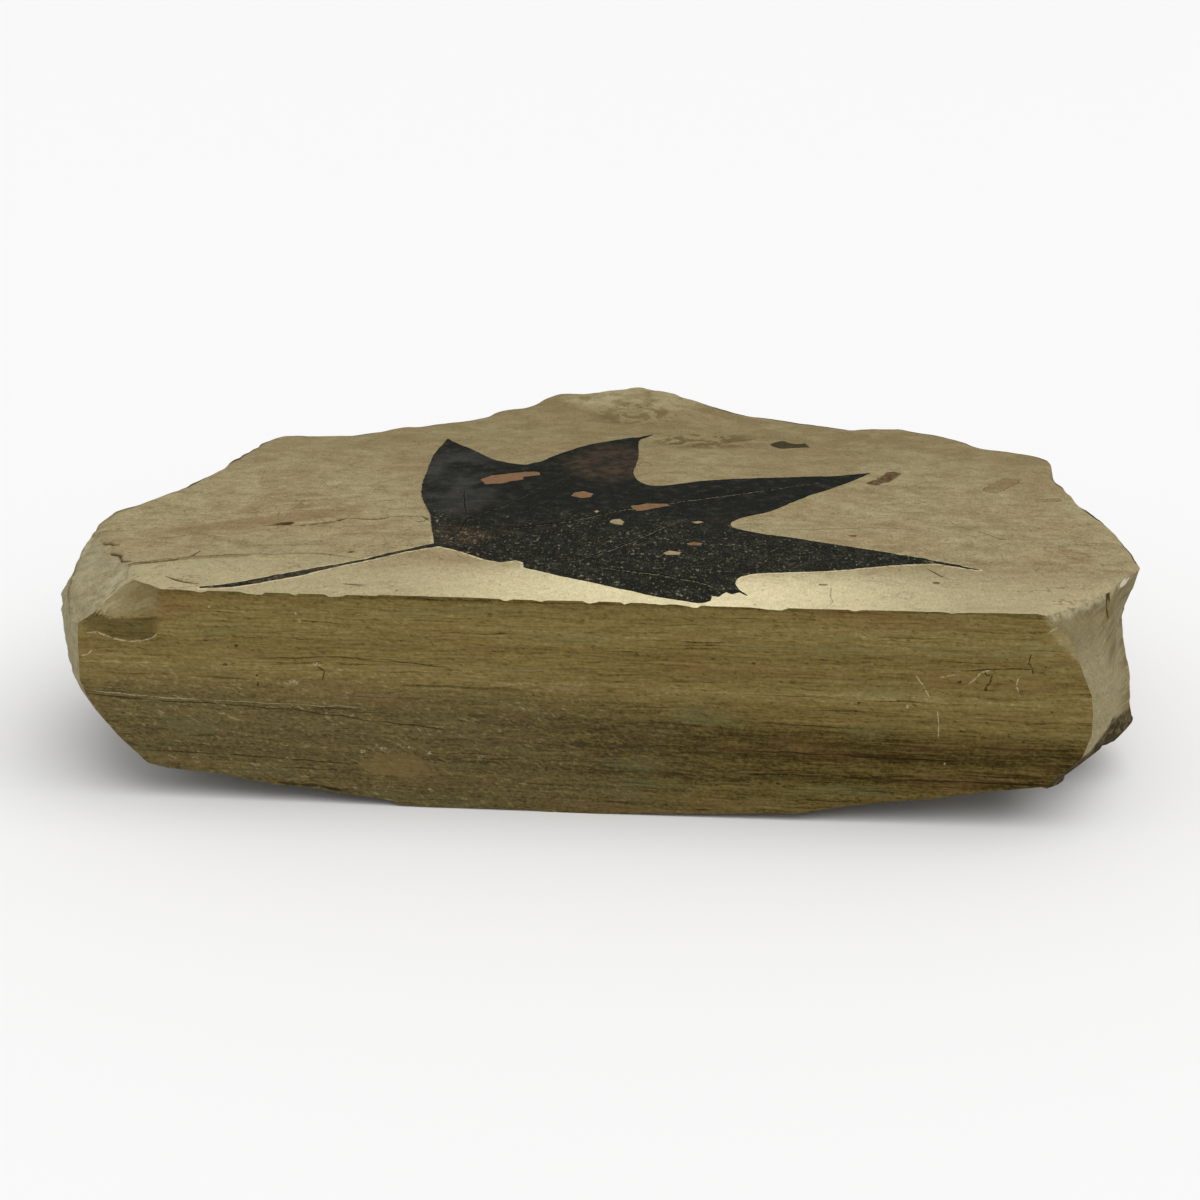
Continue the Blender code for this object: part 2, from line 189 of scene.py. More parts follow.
SCRAP_OUTLINE = [
    [(62, 209), (67, 215), (70, 212), (74, 210)], [(77, 211.5)], [(79, 205), (72, 204), (67, 202.5),
     (63.5, 205.5)],
]
CURVE_STEPS = 8
# The film's upper and lower side against the split face, the height of its broad and fine crumple, and how
# strongly the fine lines of the split face show.
FILM_PROUD = 0.22
FILM_SUNK = 0.12
FILM_CRUMPLE = (0.05, 0.04)
FINE_LINE_TINT = 0.6
# How far in or out of an outline, in millimetres, a mask on the mesh runs from 0 to 1.
MASK_REACH = 6.0

# Holes in the leaf, where the stone shows through: brown ones and cream ones.
BROWN_HOLES = [
    [(-57.9, 144), (-54, 150.3), (-40.2, 157.3), (-34.7, 156.5), (-33.1, 151), (-40.2, 147.9),
     (-39.4, 144.8), (-48, 138.5), (-54.3, 137)],
    [(-17.5, 126), (-13.5, 128.7), (-9.1, 125.2), (-9.6, 119.7), (-13.5, 118.2), (-17.5, 121.3)],
    [(6.8, 110.3), (13.1, 114.3), (20.9, 114.7), (22.5, 111.9), (14.7, 106.4), (9.7, 103.3), (7.1, 107.2)],
    [(30, 64), (33, 66.5), (36.4, 64.6), (34.8, 61.9), (31.2, 61.7)],
]
CREAM_HOLES = [
    [(0.9, 91.5), (3.7, 92.3), (5.7, 89.2), (5.3, 84.5), (2.4, 85.3), (-0.1, 87.6)],
    [(-7.2, 101), (-5.7, 103.4), (-4.3, 101), (-5.7, 98.5)],
    [(30.6, 91.4), (34, 93.2), (36.6, 91), (33.4, 89.2)],
    [(21.9, 53), (24.4, 56), (28.8, 54.4), (28.2, 50.6), (23.6, 50)],
]

# The leaf's veins, from the stalk outward: half width and height in millimetres, and the points of each.
VEINS = [
    (1.1, 0.35, [(-60, 57), (-55.5, 71), (-54.4, 87.4), (-51, 94), (-44, 105), (-37.8, 118), (-28.6, 132.7),
                 (-18.2, 157.3)]),
    (1.1, 0.35, [(-60, 57), (-51.8, 66), (-40, 75), (-16, 86.7), (3, 102), (18, 112.5), (33.4, 121),
                 (48, 128.5), (60, 134.5), (80, 147)]),
    (0.8, 0.2, [(-55, 91), (-58.1, 106.8), (-61.6, 127.2)]),
    (1.0, 0.25, [(-59, 56), (-47, 52), (-28.4, 49.8), (-8, 44)]),
    (1.1, 0.35, [(-27, 39), (-15.4, 38.4), (-6.8, 41.3), (1.3, 52.1), (10.6, 64.5), (19.7, 80.9),
                 (31.5, 98.2)]),
    (1.4, 0.5, [(2, 34), (12.8, 31), (24.1, 27.6), (36.4, 22.3), (43.4, 16)]),
    (1.0, -0.1, [(-68, 90), (-65.2, 89.7), (-60, 90.8), (-54.6, 91.2)]),
    (0.8, 0.2, [(-55, 55.6), (-39.7, 45.4), (-27.5, 36)]),
]

# Cracks of the split face: half width, depth and points.
CRACKS = [
    (1.6, 0.8, [(-130, 75), (-123, 78), (-119, 75.5)]),
    (2.3, 1.0, [(-120, 76), (-113, 78.5), (-105, 83), (-101, 86)]),
    (1.4, 0.6, [(-99, 86), (-89, 85.5), (-84, 89)]),
    (1.5, 0.8, [(-85, 89), (-78, 91), (-73.5, 90)]),
    (1.5, 0.9, [(-182, 43), (-173, 37), (-171, 32), (-166.5, 29)]),
    (1.6, 0.7, [(-166, 27), (-156, 30), (-147, 36), (-145, 41.5)]),
    (1.2, 0.4, [(-148.5, 14), (-142, 9.5), (-135.5, 7)]),
    (1.1, 0.4, [(-86, 11.5), (-78, 10.6)]),
    (0.9, 0.35, [(116, 44), (120, 36), (123, 32.5)]),
    (2.4, 1.0, [(-185, 50.5), (-181, 49), (-176.5, 47)]),
    (2.2, 0.8, [(-126, 76), (-120, 78.8)]),
    (1.3, 0.5, [(-74, 84), (-71, 83.5), (-69.5, 88), (-72.5, 91)]),
]
# Fine lines that are only colour: half width and points.
FINE_LINES = [
    (1.6, [(-126, 40.5), (-113, 41.5), (-100, 43), (-87, 39.5)]),
    (1.3, [(-150, 33.5), (-138, 37.5), (-127, 39)]),
    (0.8, [(-134, 50), (-105, 53), (-99, 55.5)]),
    (0.8, [(-150, 88), (-131, 93), (-112, 96), (-96, 94.5)]),
    (0.8, [(-112, 118), (-104, 120), (-97, 118.5)]),
    (0.8, [(-101, 106), (-83, 112.5)]),
    (0.9, [(61, 83), (76, 86), (102, 90), (116, 88.7), (125.7, 83.4)]),
    (0.8, [(128.6, 101), (130.7, 96.1), (133.9, 97.7)]),
    (0.8, [(99.5, 107.7), (110.7, 104.7)]),
    (0.9, [(137.5, 90.5), (142.4, 84.8), (145.5, 80.2), (149.8, 79.4)]),
    (0.8, [(130.5, 59.2), (135.4, 61.9)]),
    (0.9, [(119.7, 35.4), (124.1, 32.1)]),
    (0.8, [(164.3, 60.8), (167.4, 62.2)]),
    (0.8, [(-173, 44), (-165, 54), (-152, 62), (-139, 58), (-137, 51)]),
    (0.6, [(81, 24), (81, 7.5), (79, 1.5)]),
    (0.7, [(-41.8, 168.5), (-42, 171.5), (-39.6, 172.6), (-37.6, 171), (-38, 168.8)]),
    (0.7, [(6.4, 170), (7, 173), (9.5, 173.5), (11.5, 171), (10.5, 168.3)]),
    (0.7, [(-112.5, 107), (-111.5, 110), (-108.5, 110.6), (-106, 108.5), (-107.5, 105.6)]),
    (0.8, [(-72.3, 86), (-69.9, 83.6), (-68.4, 86.3), (-69.6, 93)]),
]
# Stains of the split face: half width and the run of points that each follows.
BROWN_STAINS = [
    (2.6, [(103.5, 150), (108, 155), (112.5, 165)]),
    (1.6, [(-124.5, 77), (-121, 79)]),
    (1.0, [(78, 24), (79, 24.6)]),
    (1.0, [(90.8, 79), (91.6, 79.2)]),
    (0.9, [(-90.7, 46.4), (-90, 46.6)]),
    (0.9, [(-13, 107.5), (-12.4, 108.3)]),
    (0.9, [(116.8, 28.6), (117.4, 29)]),
]
FAINT_STAINS = [
    (3.6, [(150.5, 144), (155, 151), (159, 157)]),
    (1.6, [(167, 130.5), (174, 132.8)]),
    (1.2, [(-167, 25.5), (-155, 31), (-146, 34.5), (-127, 39)]),
]

# Lights, camera and floor; the camera's place is in the drawing's millimetres, the floor's size in metres.
WORLD_STRENGTH = 0.62
BROAD_STRENGTH = 1.45
BROAD_ANGLE = 70.0
BROAD_FROM = (0.45, -0.25, 1.0)
CAMERA_PLACE = (49.46, -562.62, 284.87)
CAMERA_TILT = 70.0
CAMERA_TURN = 4.65
CAMERA_LENS = 54.0
CAMERA_SENSOR = 36.0
FLOOR_SIZE = 80.0
FLOOR_WHITE = (0.93, 0.93, 0.93, 1.0)

SHIFT = np.array((
    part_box("leaf")[0].x / MM - STALK_END_X,
    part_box("limestone_block")[0].y / MM,
    0.0,
))


# Numbers and noise

def ramp(low, high, value):
    """0 at low, 1 at high, with a smooth rise between them; low may be above high."""
    share = np.clip((np.asarray(value, float) - low) / (high - low), 0.0, 1.0)
    return share * share * (3.0 - 2.0 * share)


def read_table(table, at):
    """Straight-line reading of a list of (position, value) pairs."""
    return np.interp(at, [row[0] for row in table], [row[1] for row in table])


def lattice_value(ix, iy, iz, seed):
    """A repeatable value from -1 to 1 for each point of a whole-numbered lattice."""
    mixed = (ix * 374761393 + iy * 668265263 + iz * 1442695041 + seed * 974634777) & 0xFFFFFFFF
    mixed = ((mixed ^ (mixed >> 13)) * 1274126177) & 0xFFFFFFFF
    return ((mixed ^ (mixed >> 16)) & 0xFFFF) / 32767.5 - 1.0


def soft_noise(points, size, seed):
    """Smooth noise from -1 to 1 at points (n, 3), with features of about the given size."""
    cell = np.asarray(points, float) / size
    base = np.floor(cell).astype(np.int64)
    part = cell - base
    ease = part * part * (3.0 - 2.0 * part)
    total = np.zeros(len(cell))
    for dx in (0, 1):
        for dy in (0, 1):
            for dz in (0, 1):
                weight = np.where(dx, ease[:, 0], 1.0 - ease[:, 0])
                weight = weight * np.where(dy, ease[:, 1], 1.0 - ease[:, 1])
                weight = weight * np.where(dz, ease[:, 2], 1.0 - ease[:, 2])
                total += weight * lattice_value(base[:, 0] + dx, base[:, 1] + dy, base[:, 2] + dz, seed)
    return total


def rough_noise(points, size, seed, octaves=3, keep=0.5):
    """Several layers of noise, each half the size of the one before and weaker by keep."""
    total = np.zeros(len(points))
    strength = 1.0
    for layer in range(octaves):
        total += strength * soft_noise(points, size / 2**layer, seed + 31 * layer)
        strength *= keep
    return total


def flat(points):
    """Points of the plan as points in space at height 0."""
    return np.column_stack((points[:, 0], points[:, 1], np.zeros(len(points))))


# Runs and outlines in plan

def run_lengths(run):
    """How far along a run each of its points is."""
    steps = np.hypot(*np.diff(run, axis=0).T)
    return np.concatenate(([0.0], np.cumsum(steps)))


def walk(run, shares):
    """Points at shares of the way along an open run, from 0 at its start to 1 at its end."""
    run = np.asarray(run, float)
    lengths = run_lengths(run)
    at = shares * lengths[-1]
    return np.column_stack((np.interp(at, lengths, run[:, 0]), np.interp(at, lengths, run[:, 1])))


def walk_by(run, step):
    """Points at equal steps along an open run, its two ends included."""
    run = np.asarray(run, float)
    return walk(run, np.linspace(0.0, 1.0, max(2, int(round(run_lengths(run)[-1] / step)) + 1)))


def closed_walk(outline, step):
    """Points at equal steps round a closed outline, without the repeated last one."""
    outline = np.asarray(outline, float)
    return walk_by(np.vstack((outline, outline[:1])), step)[:-1]


def side_normals(run, closed):
    """The unit normal to the right of each point of a run."""
    if closed:
        along = np.roll(run, -1, 0) - np.roll(run, 1, 0)
    else:
        along = np.gradient(run, axis=0)
    along /= np.maximum(np.hypot(*along.T), 1e-9)[:, None]
    return np.column_stack((along[:, 1], -along[:, 0]))


def softened(values, passes):
    """Rows of values, each averaged with its neighbours a number of times; the two ends stay."""
    values = np.array(values, float)
    for _ in range(passes):
        values[1:-1] = 0.25 * values[:-2] + 0.5 * values[1:-1] + 0.25 * values[2:]
    return values


def curved(runs, steps):
    """A closed smooth curve through the points of some runs, with a corner at each run's start."""
    points = [Vector(p) for run in runs for p in run]
    sharp = [i == 0 for run in runs for i in range(len(run))]
    count = len(points)
    drawn = []
    for i in range(count):
        a, b = points[i], points[(i + 1) % count]
        leave = Vector((0, 0)) if sharp[i] else (b - points[i - 1]) * 0.5
        arrive = Vector((0, 0)) if sharp[(i + 1) % count] else (points[(i + 2) % count] - a) * 0.5
        if sharp[i]:
            leave = (b - a) - arrive * 0.35
        if sharp[(i + 1) % count]:
            arrive = (b - a) - leave * 0.35
        for k in range(steps):
            t = k / steps
            drawn.append(
                a * (2 * t**3 - 3 * t**2 + 1) + leave * (t**3 - 2 * t**2 + t)
                + b * (3 * t**2 - 2 * t**3) + arrive * (t**3 - t**2)
            )
    return [tuple(p) for p in drawn]


def distance_to(points, run, closed=False):
    """Distance from each point to a run of straight lines."""
    run = np.asarray(run, float)
    if closed:
        run = np.vstack((run, run[:1]))
    best = np.full(len(points), FAR)
    for a, b in zip(run[:-1], run[1:]):
        along = b - a
        share = np.clip(((points - a) @ along) / max(along @ along, 1e-9), 0.0, 1.0)
        best = np.minimum(best, np.hypot(*(points - a - share[:, None] * along).T))
    return best


def inside(points, outline):
    """Which points lie inside a closed outline."""
    outline = np.asarray(outline, float)
    x, y = points[:, 0], points[:, 1]
    odd = np.zeros(len(points), bool)
    for (ax, ay), (bx, by) in zip(outline, np.roll(outline, -1, 0)):
        if ay != by:
            crosses = (ay > y) != (by > y)
            odd ^= crosses & (x < (bx - ax) * (y - ay) / (by - ay) + ax)
    return odd


def beyond(points, outline):
    """Distance outside a closed outline, negative inside it."""
    away = distance_to(points, outline, closed=True)
    return np.where(inside(points, outline), -away, away)


def grid_inside(outline, step, clearance, seed, keep_off=()):
    """A jittered triangular grid inside an outline, clear of the outline and of other points."""
    low, high = np.min(outline, axis=0), np.max(outline, axis=0)
    rows = np.arange(low[1], high[1], step * math.sqrt(0.75))
    points = []
    for i, y in enumerate(rows):
        xs = np.arange(low[0] + (i % 2) * step / 2.0, high[0], step)
        points.append(np.column_stack((xs, np.full(len(xs), y))))
    points = np.vstack(points)
    random = np.random.default_rng(seed)
    points += random.uniform(-0.16, 0.16, points.shape) * step
    points = points[inside(points, outline)]
    points = points[distance_to(points, outline, closed=True) > clearance]
    for others in keep_off:
        gap = np.full(len(points), FAR)
        for other in others:
            gap = np.minimum(gap, np.hypot(*(points - other).T))
        points = points[gap > clearance]
    return points


def triangulated(outline, loose, edges=()):
    """Triangles that fill a closed outline through loose points: all the points, outline first, and the
    triangles. Edges are pairs of indices of points that stay joined."""
    points = np.vstack((outline, loose))
    result = delaunay_2d_cdt([Vector(p) for p in points], list(edges), [list(range(len(outline)))], 1, 1e-5)
    place = []
    extra = []
    for spot, sources in zip(result[0], result[3]):
        if sources:
            place.append(sources[0])
        else:
            place.append(len(points) + len(extra))
            extra.append(spot[:2])
    if extra:
        points = np.vstack((points, np.array(extra)))
    return points, [tuple(place[i] for i in face) for face in result[2]]


# The block's form

def ridge_surface(x, y):
    """Height of the steeper surface beside the ridge of the upper left corner."""
    rx, ry, rz = RIDGE_TOP
    return rz + (x - rx) * RIDGE_SLOPE[0] + (y - ry) * RIDGE_SLOPE[1]


def chip_ceiling(x, y):
    """Height of the chipped-off corners' surfaces, with the faint ripples of a shell-like break."""
    lowest = np.full(len(x), FAR)
    for (px, py, pz), (nx, ny, nz) in CORNER_CHIPS:
        plane = pz - ((x - px) * nx + (y - py) * ny) / nz
        depth = np.maximum(0.0, THICKNESS - plane)
        away = np.hypot(x - px * RIPPLE_CENTRE[0], y - py + RIPPLE_CENTRE[1])
        ripple = RIPPLE_DEPTH * np.sin(away / RIPPLE_SPACING) * ramp(0.0, 5.0, depth)
        if px < 0:
            to_ridge = distance_to(np.column_stack((x, y)), CHIP_RIDGE)
            near = ramp(RIDGE_REACH[1], RIDGE_REACH[0], to_ridge)
            plane = plane + (ridge_surface(x, y) - plane) * near
        lowest = np.minimum(lowest, plane + ripple)
    return lowest


def swell_height(x, y):
    """The hump at the back and the shallow scar beside it."""
    right_edge = HUMP_RIGHT_EDGE[0] + (y - HUMP_RIGHT_EDGE[1]) * HUMP_EDGE_SLOPE
    swell = ramp(*HUMP_RISE_Y, y) * ramp(*HUMP_RISE_X, x) * (1.0 - ramp(0.0, HUMP_FALL, x - right_edge))
    across = (x - SCAR_CENTRE[0]) / SCAR_HALF_SIZES[0]
    along = (y - SCAR_CENTRE[1]) / SCAR_HALF_SIZES[1]
    scar = np.maximum(0.0, 1.0 - across**2 - along**2)
    return HUMP_HEIGHT * swell - SCAR_DEPTH * scar


def face_relief(x, y):
    """Low relief of the split face: slow swells, and the edges of laminae that parted lower."""
    spots = np.column_stack((x, y, np.zeros(len(x))))
    slow = 0.30 * soft_noise(spots, 62.0, 3) + 0.12 * soft_noise(spots, 21.0, 4)
    field = rough_noise(spots, 52.0, 7, octaves=4, keep=0.45)
    laminae = 0.26 * ramp(0.18, 0.25, field) - 0.22 * ramp(-0.30, -0.37, field)
    fine = 0.05 * soft_noise(spots, 4.0, 9)
    return slow + laminae + fine


def face_surface(x, y):
    """Height of the split face at plan points, with its chipped corners."""
    top = THICKNESS + swell_height(x, y) + face_relief(x, y)
    return np.minimum(top, chip_ceiling(x, y))


def broken_grain(points):
    """Slow hollows and beds of a broken side, as in the model."""
    total = np.empty(len(points))
    for i, p in enumerate(points):
        p = Vector(p)
        bed = noise.noise(Vector((p.x / 60.0, p.y / 60.0, math.floor(p.z / 7.0) * 3.7)))
        total[i] = 2.2 * noise.noise(p / 38.0) + 1.2 * noise.noise(p / 14.0) + 1.5 * bed
    return total


def bed_number(points):
    """Which thin bed each point lies in: beds of uneven thickness that wander a little."""
    random = np.random.default_rng(12)
    tops = np.cumsum(random.choice((1.4, 1.9, 2.6, 3.4, 4.6, 6.2), 60))
    wander = 1.2 * soft_noise(points * (1.0, 1.0, 0.4), 70.0, 21)
    return np.searchsorted(tops, points[:, 2] + wander)


def fine_breaks(points):
    """The fine relief of a broken side: each thin bed stands in or out, with crumbled grain over all."""
    beds = bed_number(points)
    layered = np.column_stack((points[:, 0], points[:, 1], beds * 97.0))
    ledges = 0.75 * soft_noise(layered, 26.0, 41) + 0.4 * soft_noise(layered, 8.0, 42)
    crumble = 0.55 * rough_noise(points, 9.0, 43, octaves=3, keep=0.5)
    return ledges + crumble


def side_step(share, z):
    """Outward step of the broken side from the rim, for arrays of shares and heights."""
    shares = [row[0] for row in SIDE_PROFILES]
    at_shares = [np.interp(z, SIDE_HEIGHTS, row[1]) for row in SIDE_PROFILES]
    step = np.zeros(np.shape(z))
    for k in range(len(shares) - 1):
        part = (share - shares[k]) / (shares[k + 1] - shares[k])
        here = (part >= 0.0) & ((part < 1.0) | (k == len(shares) - 2))
        eased = ramp(0.0, 1.0, part) * 0.6 + np.clip(part, 0.0, 1.0) * 0.4
        step = np.where(here, at_shares[k] * (1.0 - eased) + at_shares[k + 1] * eased, step)
    return step


def wedge_depth(x, z):
    """How far the sawn face is set back where its upper left corner broke away, down to a crisp ledge."""
    ledge = read_table(WEDGE_LEDGE, x)
    share = np.clip((z - ledge) / (THICKNESS - ledge), 0.0, 1.0)
    return np.maximum(0.0, WEDGE_START_X - x) * WEDGE_DEPTH * share


def in_flake(x, z):
    """1 in the flake scar between the wedge's ledge and its lower lip, 0 outside it."""
    lip = read_table(FLAKE_LIP, x)
    ledge = read_table(WEDGE_LEDGE, x)
    across = ramp(-175.5, -173.0, x) * ramp(-147.5, -151.0, x)
    return across * ramp(lip - 0.3, lip + 0.6, z) * ramp(ledge + 0.2, ledge - 0.4, z)


def bevel_width(x, z):
    """How far a point is past the inner edge of the bevel at the right end of the saw cut."""
    return np.where(z > RIGHT_BEVEL[0][0], np.maximum(0.0, x - read_table(RIGHT_BEVEL, z)), 0.0)


def sawn_set_back(x, z):
    """How far the sawn face lies behind the plane of the cut, by its broken corners and its laminae."""
    spots = np.column_stack((np.ravel(x) * 0.1, np.zeros(np.size(x)), np.ravel(z)))
    laminae = 0.07 * soft_noise(spots, 1.6, 81) + 0.05 * soft_noise(spots, 4.0, 82)
    relief = np.maximum(0.0, laminae.reshape(np.shape(x)))
    return wedge_depth(x, z) + FLAKE_DEPTH * in_flake(x, z) + BEVEL_SLOPE * bevel_width(x, z) + relief


def column_heights(foot, levels):
    """Heights of the points of upright columns, spread evenly from each column's foot to one top level."""
    return foot + (levels[-1] - foot) * levels / levels[-1]


def sawn_columns(levels):
    """Upright columns of points on the saw cut, from its left end to its right end."""
    left = read_table(SAW_CUT_LEFT, column_heights(SAWN_FOOT[0][1], levels))
    right = read_table(SAW_CUT_RIGHT, column_heights(SAWN_FOOT[-1][1], levels))
    share = np.linspace(0.0, 1.0, SAWN_COLUMNS)[:, None]
    x = left + (right - left) * share
    z = column_heights(read_table(SAWN_FOOT, x), levels)
    return np.stack((x, sawn_set_back(x, z), z), axis=-1)


def side_shares():
    """Shares of the way round the broken side at its columns, twice as close near the two ends."""
    even = np.linspace(0.0, 1.0, 4 * SIDE_COLUMNS)
    near_end = ramp(1.3 * END_SHARE, END_SHARE, np.minimum(even, 1.0 - even))
    packed = np.cumsum(1.0 + near_end)
    packed = (packed - packed[0]) / (packed[-1] - packed[0])
    return np.interp(np.linspace(0.0, 1.0, SIDE_COLUMNS + 2), packed, even)


def belly_edge(share, points):
    """Height of the lower edge of the belly at points of the broken side, a little ragged."""
    return read_table(BELLY_EDGE, share) + soft_noise(points * (1.0, 1.0, 0.2), 6.0, 91)


def crumbs_step(share, z, plan):
    """Outward step of the crumbs along the rim near the right end of the saw cut."""
    crumbs = CRUMB_DEPTH * rough_noise(plan, 3.4, 44, octaves=2).reshape(z.shape)
    near_corner = ramp(END_SHARE, 0.7 * END_SHARE, np.minimum(share, 1.0 - share))
    return crumbs * ramp(THICKNESS - 4.5, THICKNESS - 1.5, z) * near_corner * ramp(0.05, 0.035, share)


def belly_ledge(share, z, plan):
    """Inward step under the belly's lower edge, near the right end of the saw cut."""
    edge = belly_edge(np.broadcast_to(share, z.shape).ravel(), plan).reshape(z.shape)
    return BELLY_LEDGE * ramp(edge + 0.5, edge - 1.5, z) * ramp(0.055, 0.04, share)


def side_columns(levels):
    """Upright columns of points round the broken side, from the saw cut's right end to its left end."""
    share = side_shares()
    rim = walk([(SAW_TOP_RIGHT, 0.0), *RIM_OUTLINE, (SAW_TOP_LEFT, 0.0)], share)
    outward = side_normals(softened(rim, 12), closed=False)
    jitter = 0.8 * soft_noise(flat(rim), 11.0, 51) + 0.5 * soft_noise(flat(rim), 4.5, 52)
    jitter = jitter * read_table(BREAK_STRENGTH, share)
    rim = softened(rim, 2)
    foot = np.interp(share, [row[0] for row in SIDE_PROFILES], [row[2] for row in SIDE_PROFILES])
    z = column_heights(foot[:, None], levels)
    share = share[:, None]
    plan = np.stack(np.broadcast_arrays(rim[:, None, 0], rim[:, None, 1], z), axis=-1).reshape(-1, 3)
    below_rim = ramp(THICKNESS, THICKNESS - 15.0, z)
    step = side_step(share, z) + broken_grain(plan).reshape(z.shape) * below_rim
    strength = read_table(BREAK_STRENGTH, share)
    step = step + strength * fine_breaks(plan).reshape(z.shape) * (0.25 + 0.75 * below_rim)
    step = step + jitter[:, None]
    step = step + crumbs_step(share, z, plan) - belly_ledge(share, z, plan)
    near_cut = 1.0 - ramp(0.0, SAW_CUT_BLEND, np.minimum(share, 1.0 - share))
    step = step * (1.0 - near_cut)
    x = rim[:, 0, None] + outward[:, 0, None] * step
    y = rim[:, 1, None] + outward[:, 1, None] * step
    end_right = read_table(SAW_CUT_RIGHT, z) - SAW_TOP_RIGHT
    end_left = read_table(SAW_CUT_LEFT, z) - SAW_TOP_LEFT
    x = x + np.where(share < 0.5, end_right, end_left) * near_cut
    y = np.maximum(y, sawn_set_back(x, z) + 0.05)
    return np.stack((x, y, z), axis=-1)[1:-1]


def cut_at_face(columns):
    """Columns that end where they meet the split face, with LEVELS + 1 points each: one level follows the
    wedge's ledge and one the flake's lip."""
    count, dense = columns.shape[:2]
    x, y, z = columns[..., 0], columns[..., 1], columns[..., 2]
    over = z - face_surface(x.ravel(), y.ravel()).reshape(x.shape)
    cut = np.empty((count, LEVELS + 1, 3))
    for c in range(count):
        k = int(np.argmax(over[c] > 0.0))
        top = k - 1 + over[c, k - 1] / (over[c, k - 1] - over[c, k])
        high = np.interp(top, np.arange(dense), z[c])
        ledge = min(read_table(WEDGE_LEDGE, x[c, k]), z[c, 0] + 0.9 * (high - z[c, 0]))
        lip = min(read_table(FLAKE_LIP, x[c, k]), ledge - 4.0)
        knots = (0, LIP_LEVEL, LEDGE_LEVEL, LEVELS)
        heights = np.interp(np.arange(LEVELS + 1), knots, (z[c, 0], lip, ledge, high))
        at = np.interp(heights, z[c], np.arange(dense))
        for axis in range(3):
            cut[c, :, axis] = np.interp(at, np.arange(dense), columns[c, :, axis])
    return cut


def underside_height(points, foot_ring):
    """Low ledges of the underside, round a flat middle."""
    from_centre = foot_ring[:, :2] - BLOCK_CENTRE
    angles = np.arctan2(from_centre[:, 1], from_centre[:, 0])
    order = np.argsort(angles)
    offset = points - BLOCK_CENTRE
    angle = np.arctan2(offset[:, 1], offset[:, 0])
    reach = np.interp(angle, angles[order], np.hypot(*from_centre[order].T), period=2.0 * math.pi)
    edge = np.interp(angle, angles[order], foot_ring[order, 2], period=2.0 * math.pi)
    out = np.hypot(*offset.T) / reach
    wobble = 0.045 * soft_noise(flat(points), 30.0, 61) + 0.02 * soft_noise(flat(points), 9.0, 62)
    share = read_table(UNDERSIDE_LEDGES, np.clip(out + wobble * ramp(1.0, 0.9, out), 0.0, 1.0))
    rough = 0.35 * np.abs(rough_noise(flat(points), 14.0, 63)) * ramp(0.0, 0.3, share)
    return np.maximum(0.0, edge * share + rough)


# Strokes: cracks, fine lines and veins that the mesh follows

class Strokes:
    """Runs of three rows of points, middle and two sides, whose middle row carries a depth and a tint."""

    def __init__(self):
        self.points = []
        self.edges = []
        self.lift = []
        self.tint = []

    def add(self, run, half_width, lift, tint, seed):
        """Adds a run that wanders a little and tapers at its ends."""
        middle = walk_by(run, STROKE_STEP)
        wobble = side_normals(middle, closed=False)
        middle = middle + wobble * (0.35 * soft_noise(flat(middle), 4.0, seed))[:, None]
        normal = side_normals(middle, closed=False)
        taper = np.minimum(1.0, 0.35 + 0.65 * np.sin(np.linspace(0.0, math.pi, len(middle))) * 1.6)
        for side in (-1.0, 0.0, 1.0):
            first = sum(len(p) for p in self.points)
            self.points.append(middle + normal * (side * half_width * taper)[:, None])
            self.edges += [(first + i, first + i + 1) for i in range(len(middle) - 1)]
            on_line = 1.0 if side == 0.0 else 0.0
            self.lift.append(lift * on_line * taper)
            self.tint.append(np.full(len(middle), tint * on_line))

    def all_points(self):
        """The points of all the runs."""
        return np.vstack(self.points)

    def shifted_edges(self, by):
        """The pairs of joined points, counted from a point of a larger mesh."""
        return [(a + by, b + by) for a, b in self.edges]

    def values(self, name):
        """The lift or the tint of all the points."""
        return np.concatenate(getattr(self, name))


# Meshes

SAWN, SPLIT, BROKEN = 0, 1, 2
SHARP_ANGLE = 40.0


def to_frame(points):
    """Points of the drawing, in millimetres, as points of the frame in metres."""
    return (np.asarray(points, float) + SHIFT) * MM


def make_mesh_object(name, points, faces, materials, face_materials, attributes):
    """A mesh object from points of the drawing, with its materials and its per-point values."""
    mesh = bpy.data.meshes.new(name)
    mesh.from_pydata(to_frame(points).tolist(), [], faces)
    for material in materials:
        mesh.materials.append(material)
    mesh.polygons.foreach_set("material_index", face_materials)
    for key, values in attributes.items():
        layer = mesh.attributes.new(key, "FLOAT", "POINT")
        layer.data.foreach_set("value", np.asarray(values, np.float32))
    mesh.shade_smooth()
    mesh.set_sharp_from_angle(angle=math.radians(SHARP_ANGLE))
    mesh.update()
    placed = bpy.data.objects.new(name, mesh)
    bpy.context.scene.collection.objects.link(placed)
    return placed


def soft_mask(away):
    """1 well inside, 0 well outside and 0.5 at an edge, from the distances outside it."""
    return np.clip(0.5 - away / MASK_REACH, 0.0, 1.0)


def near_runs(points, runs):
    """The mask of some thick runs, given by half width and points."""
    return soft_mask(np.min([distance_to(points, run) - half_width for half_width, run in runs], axis=0))


def near_outlines(points, outlines):
    """The mask of some closed outlines."""
    return soft_mask(np.min([beyond(points, outline) for outline in outlines], axis=0))


def face_strokes():
    """The cracks and fine lines of the split face."""
    strokes = Strokes()
    for i, (half_width, depth, run) in enumerate(CRACKS):
        strokes.add(run, half_width, -depth, 1.0, 100 + i)
    for i, (half_width, run) in enumerate(FINE_LINES):
        strokes.add(run, half_width, 0.0, FINE_LINE_TINT, 200 + i)
    return strokes


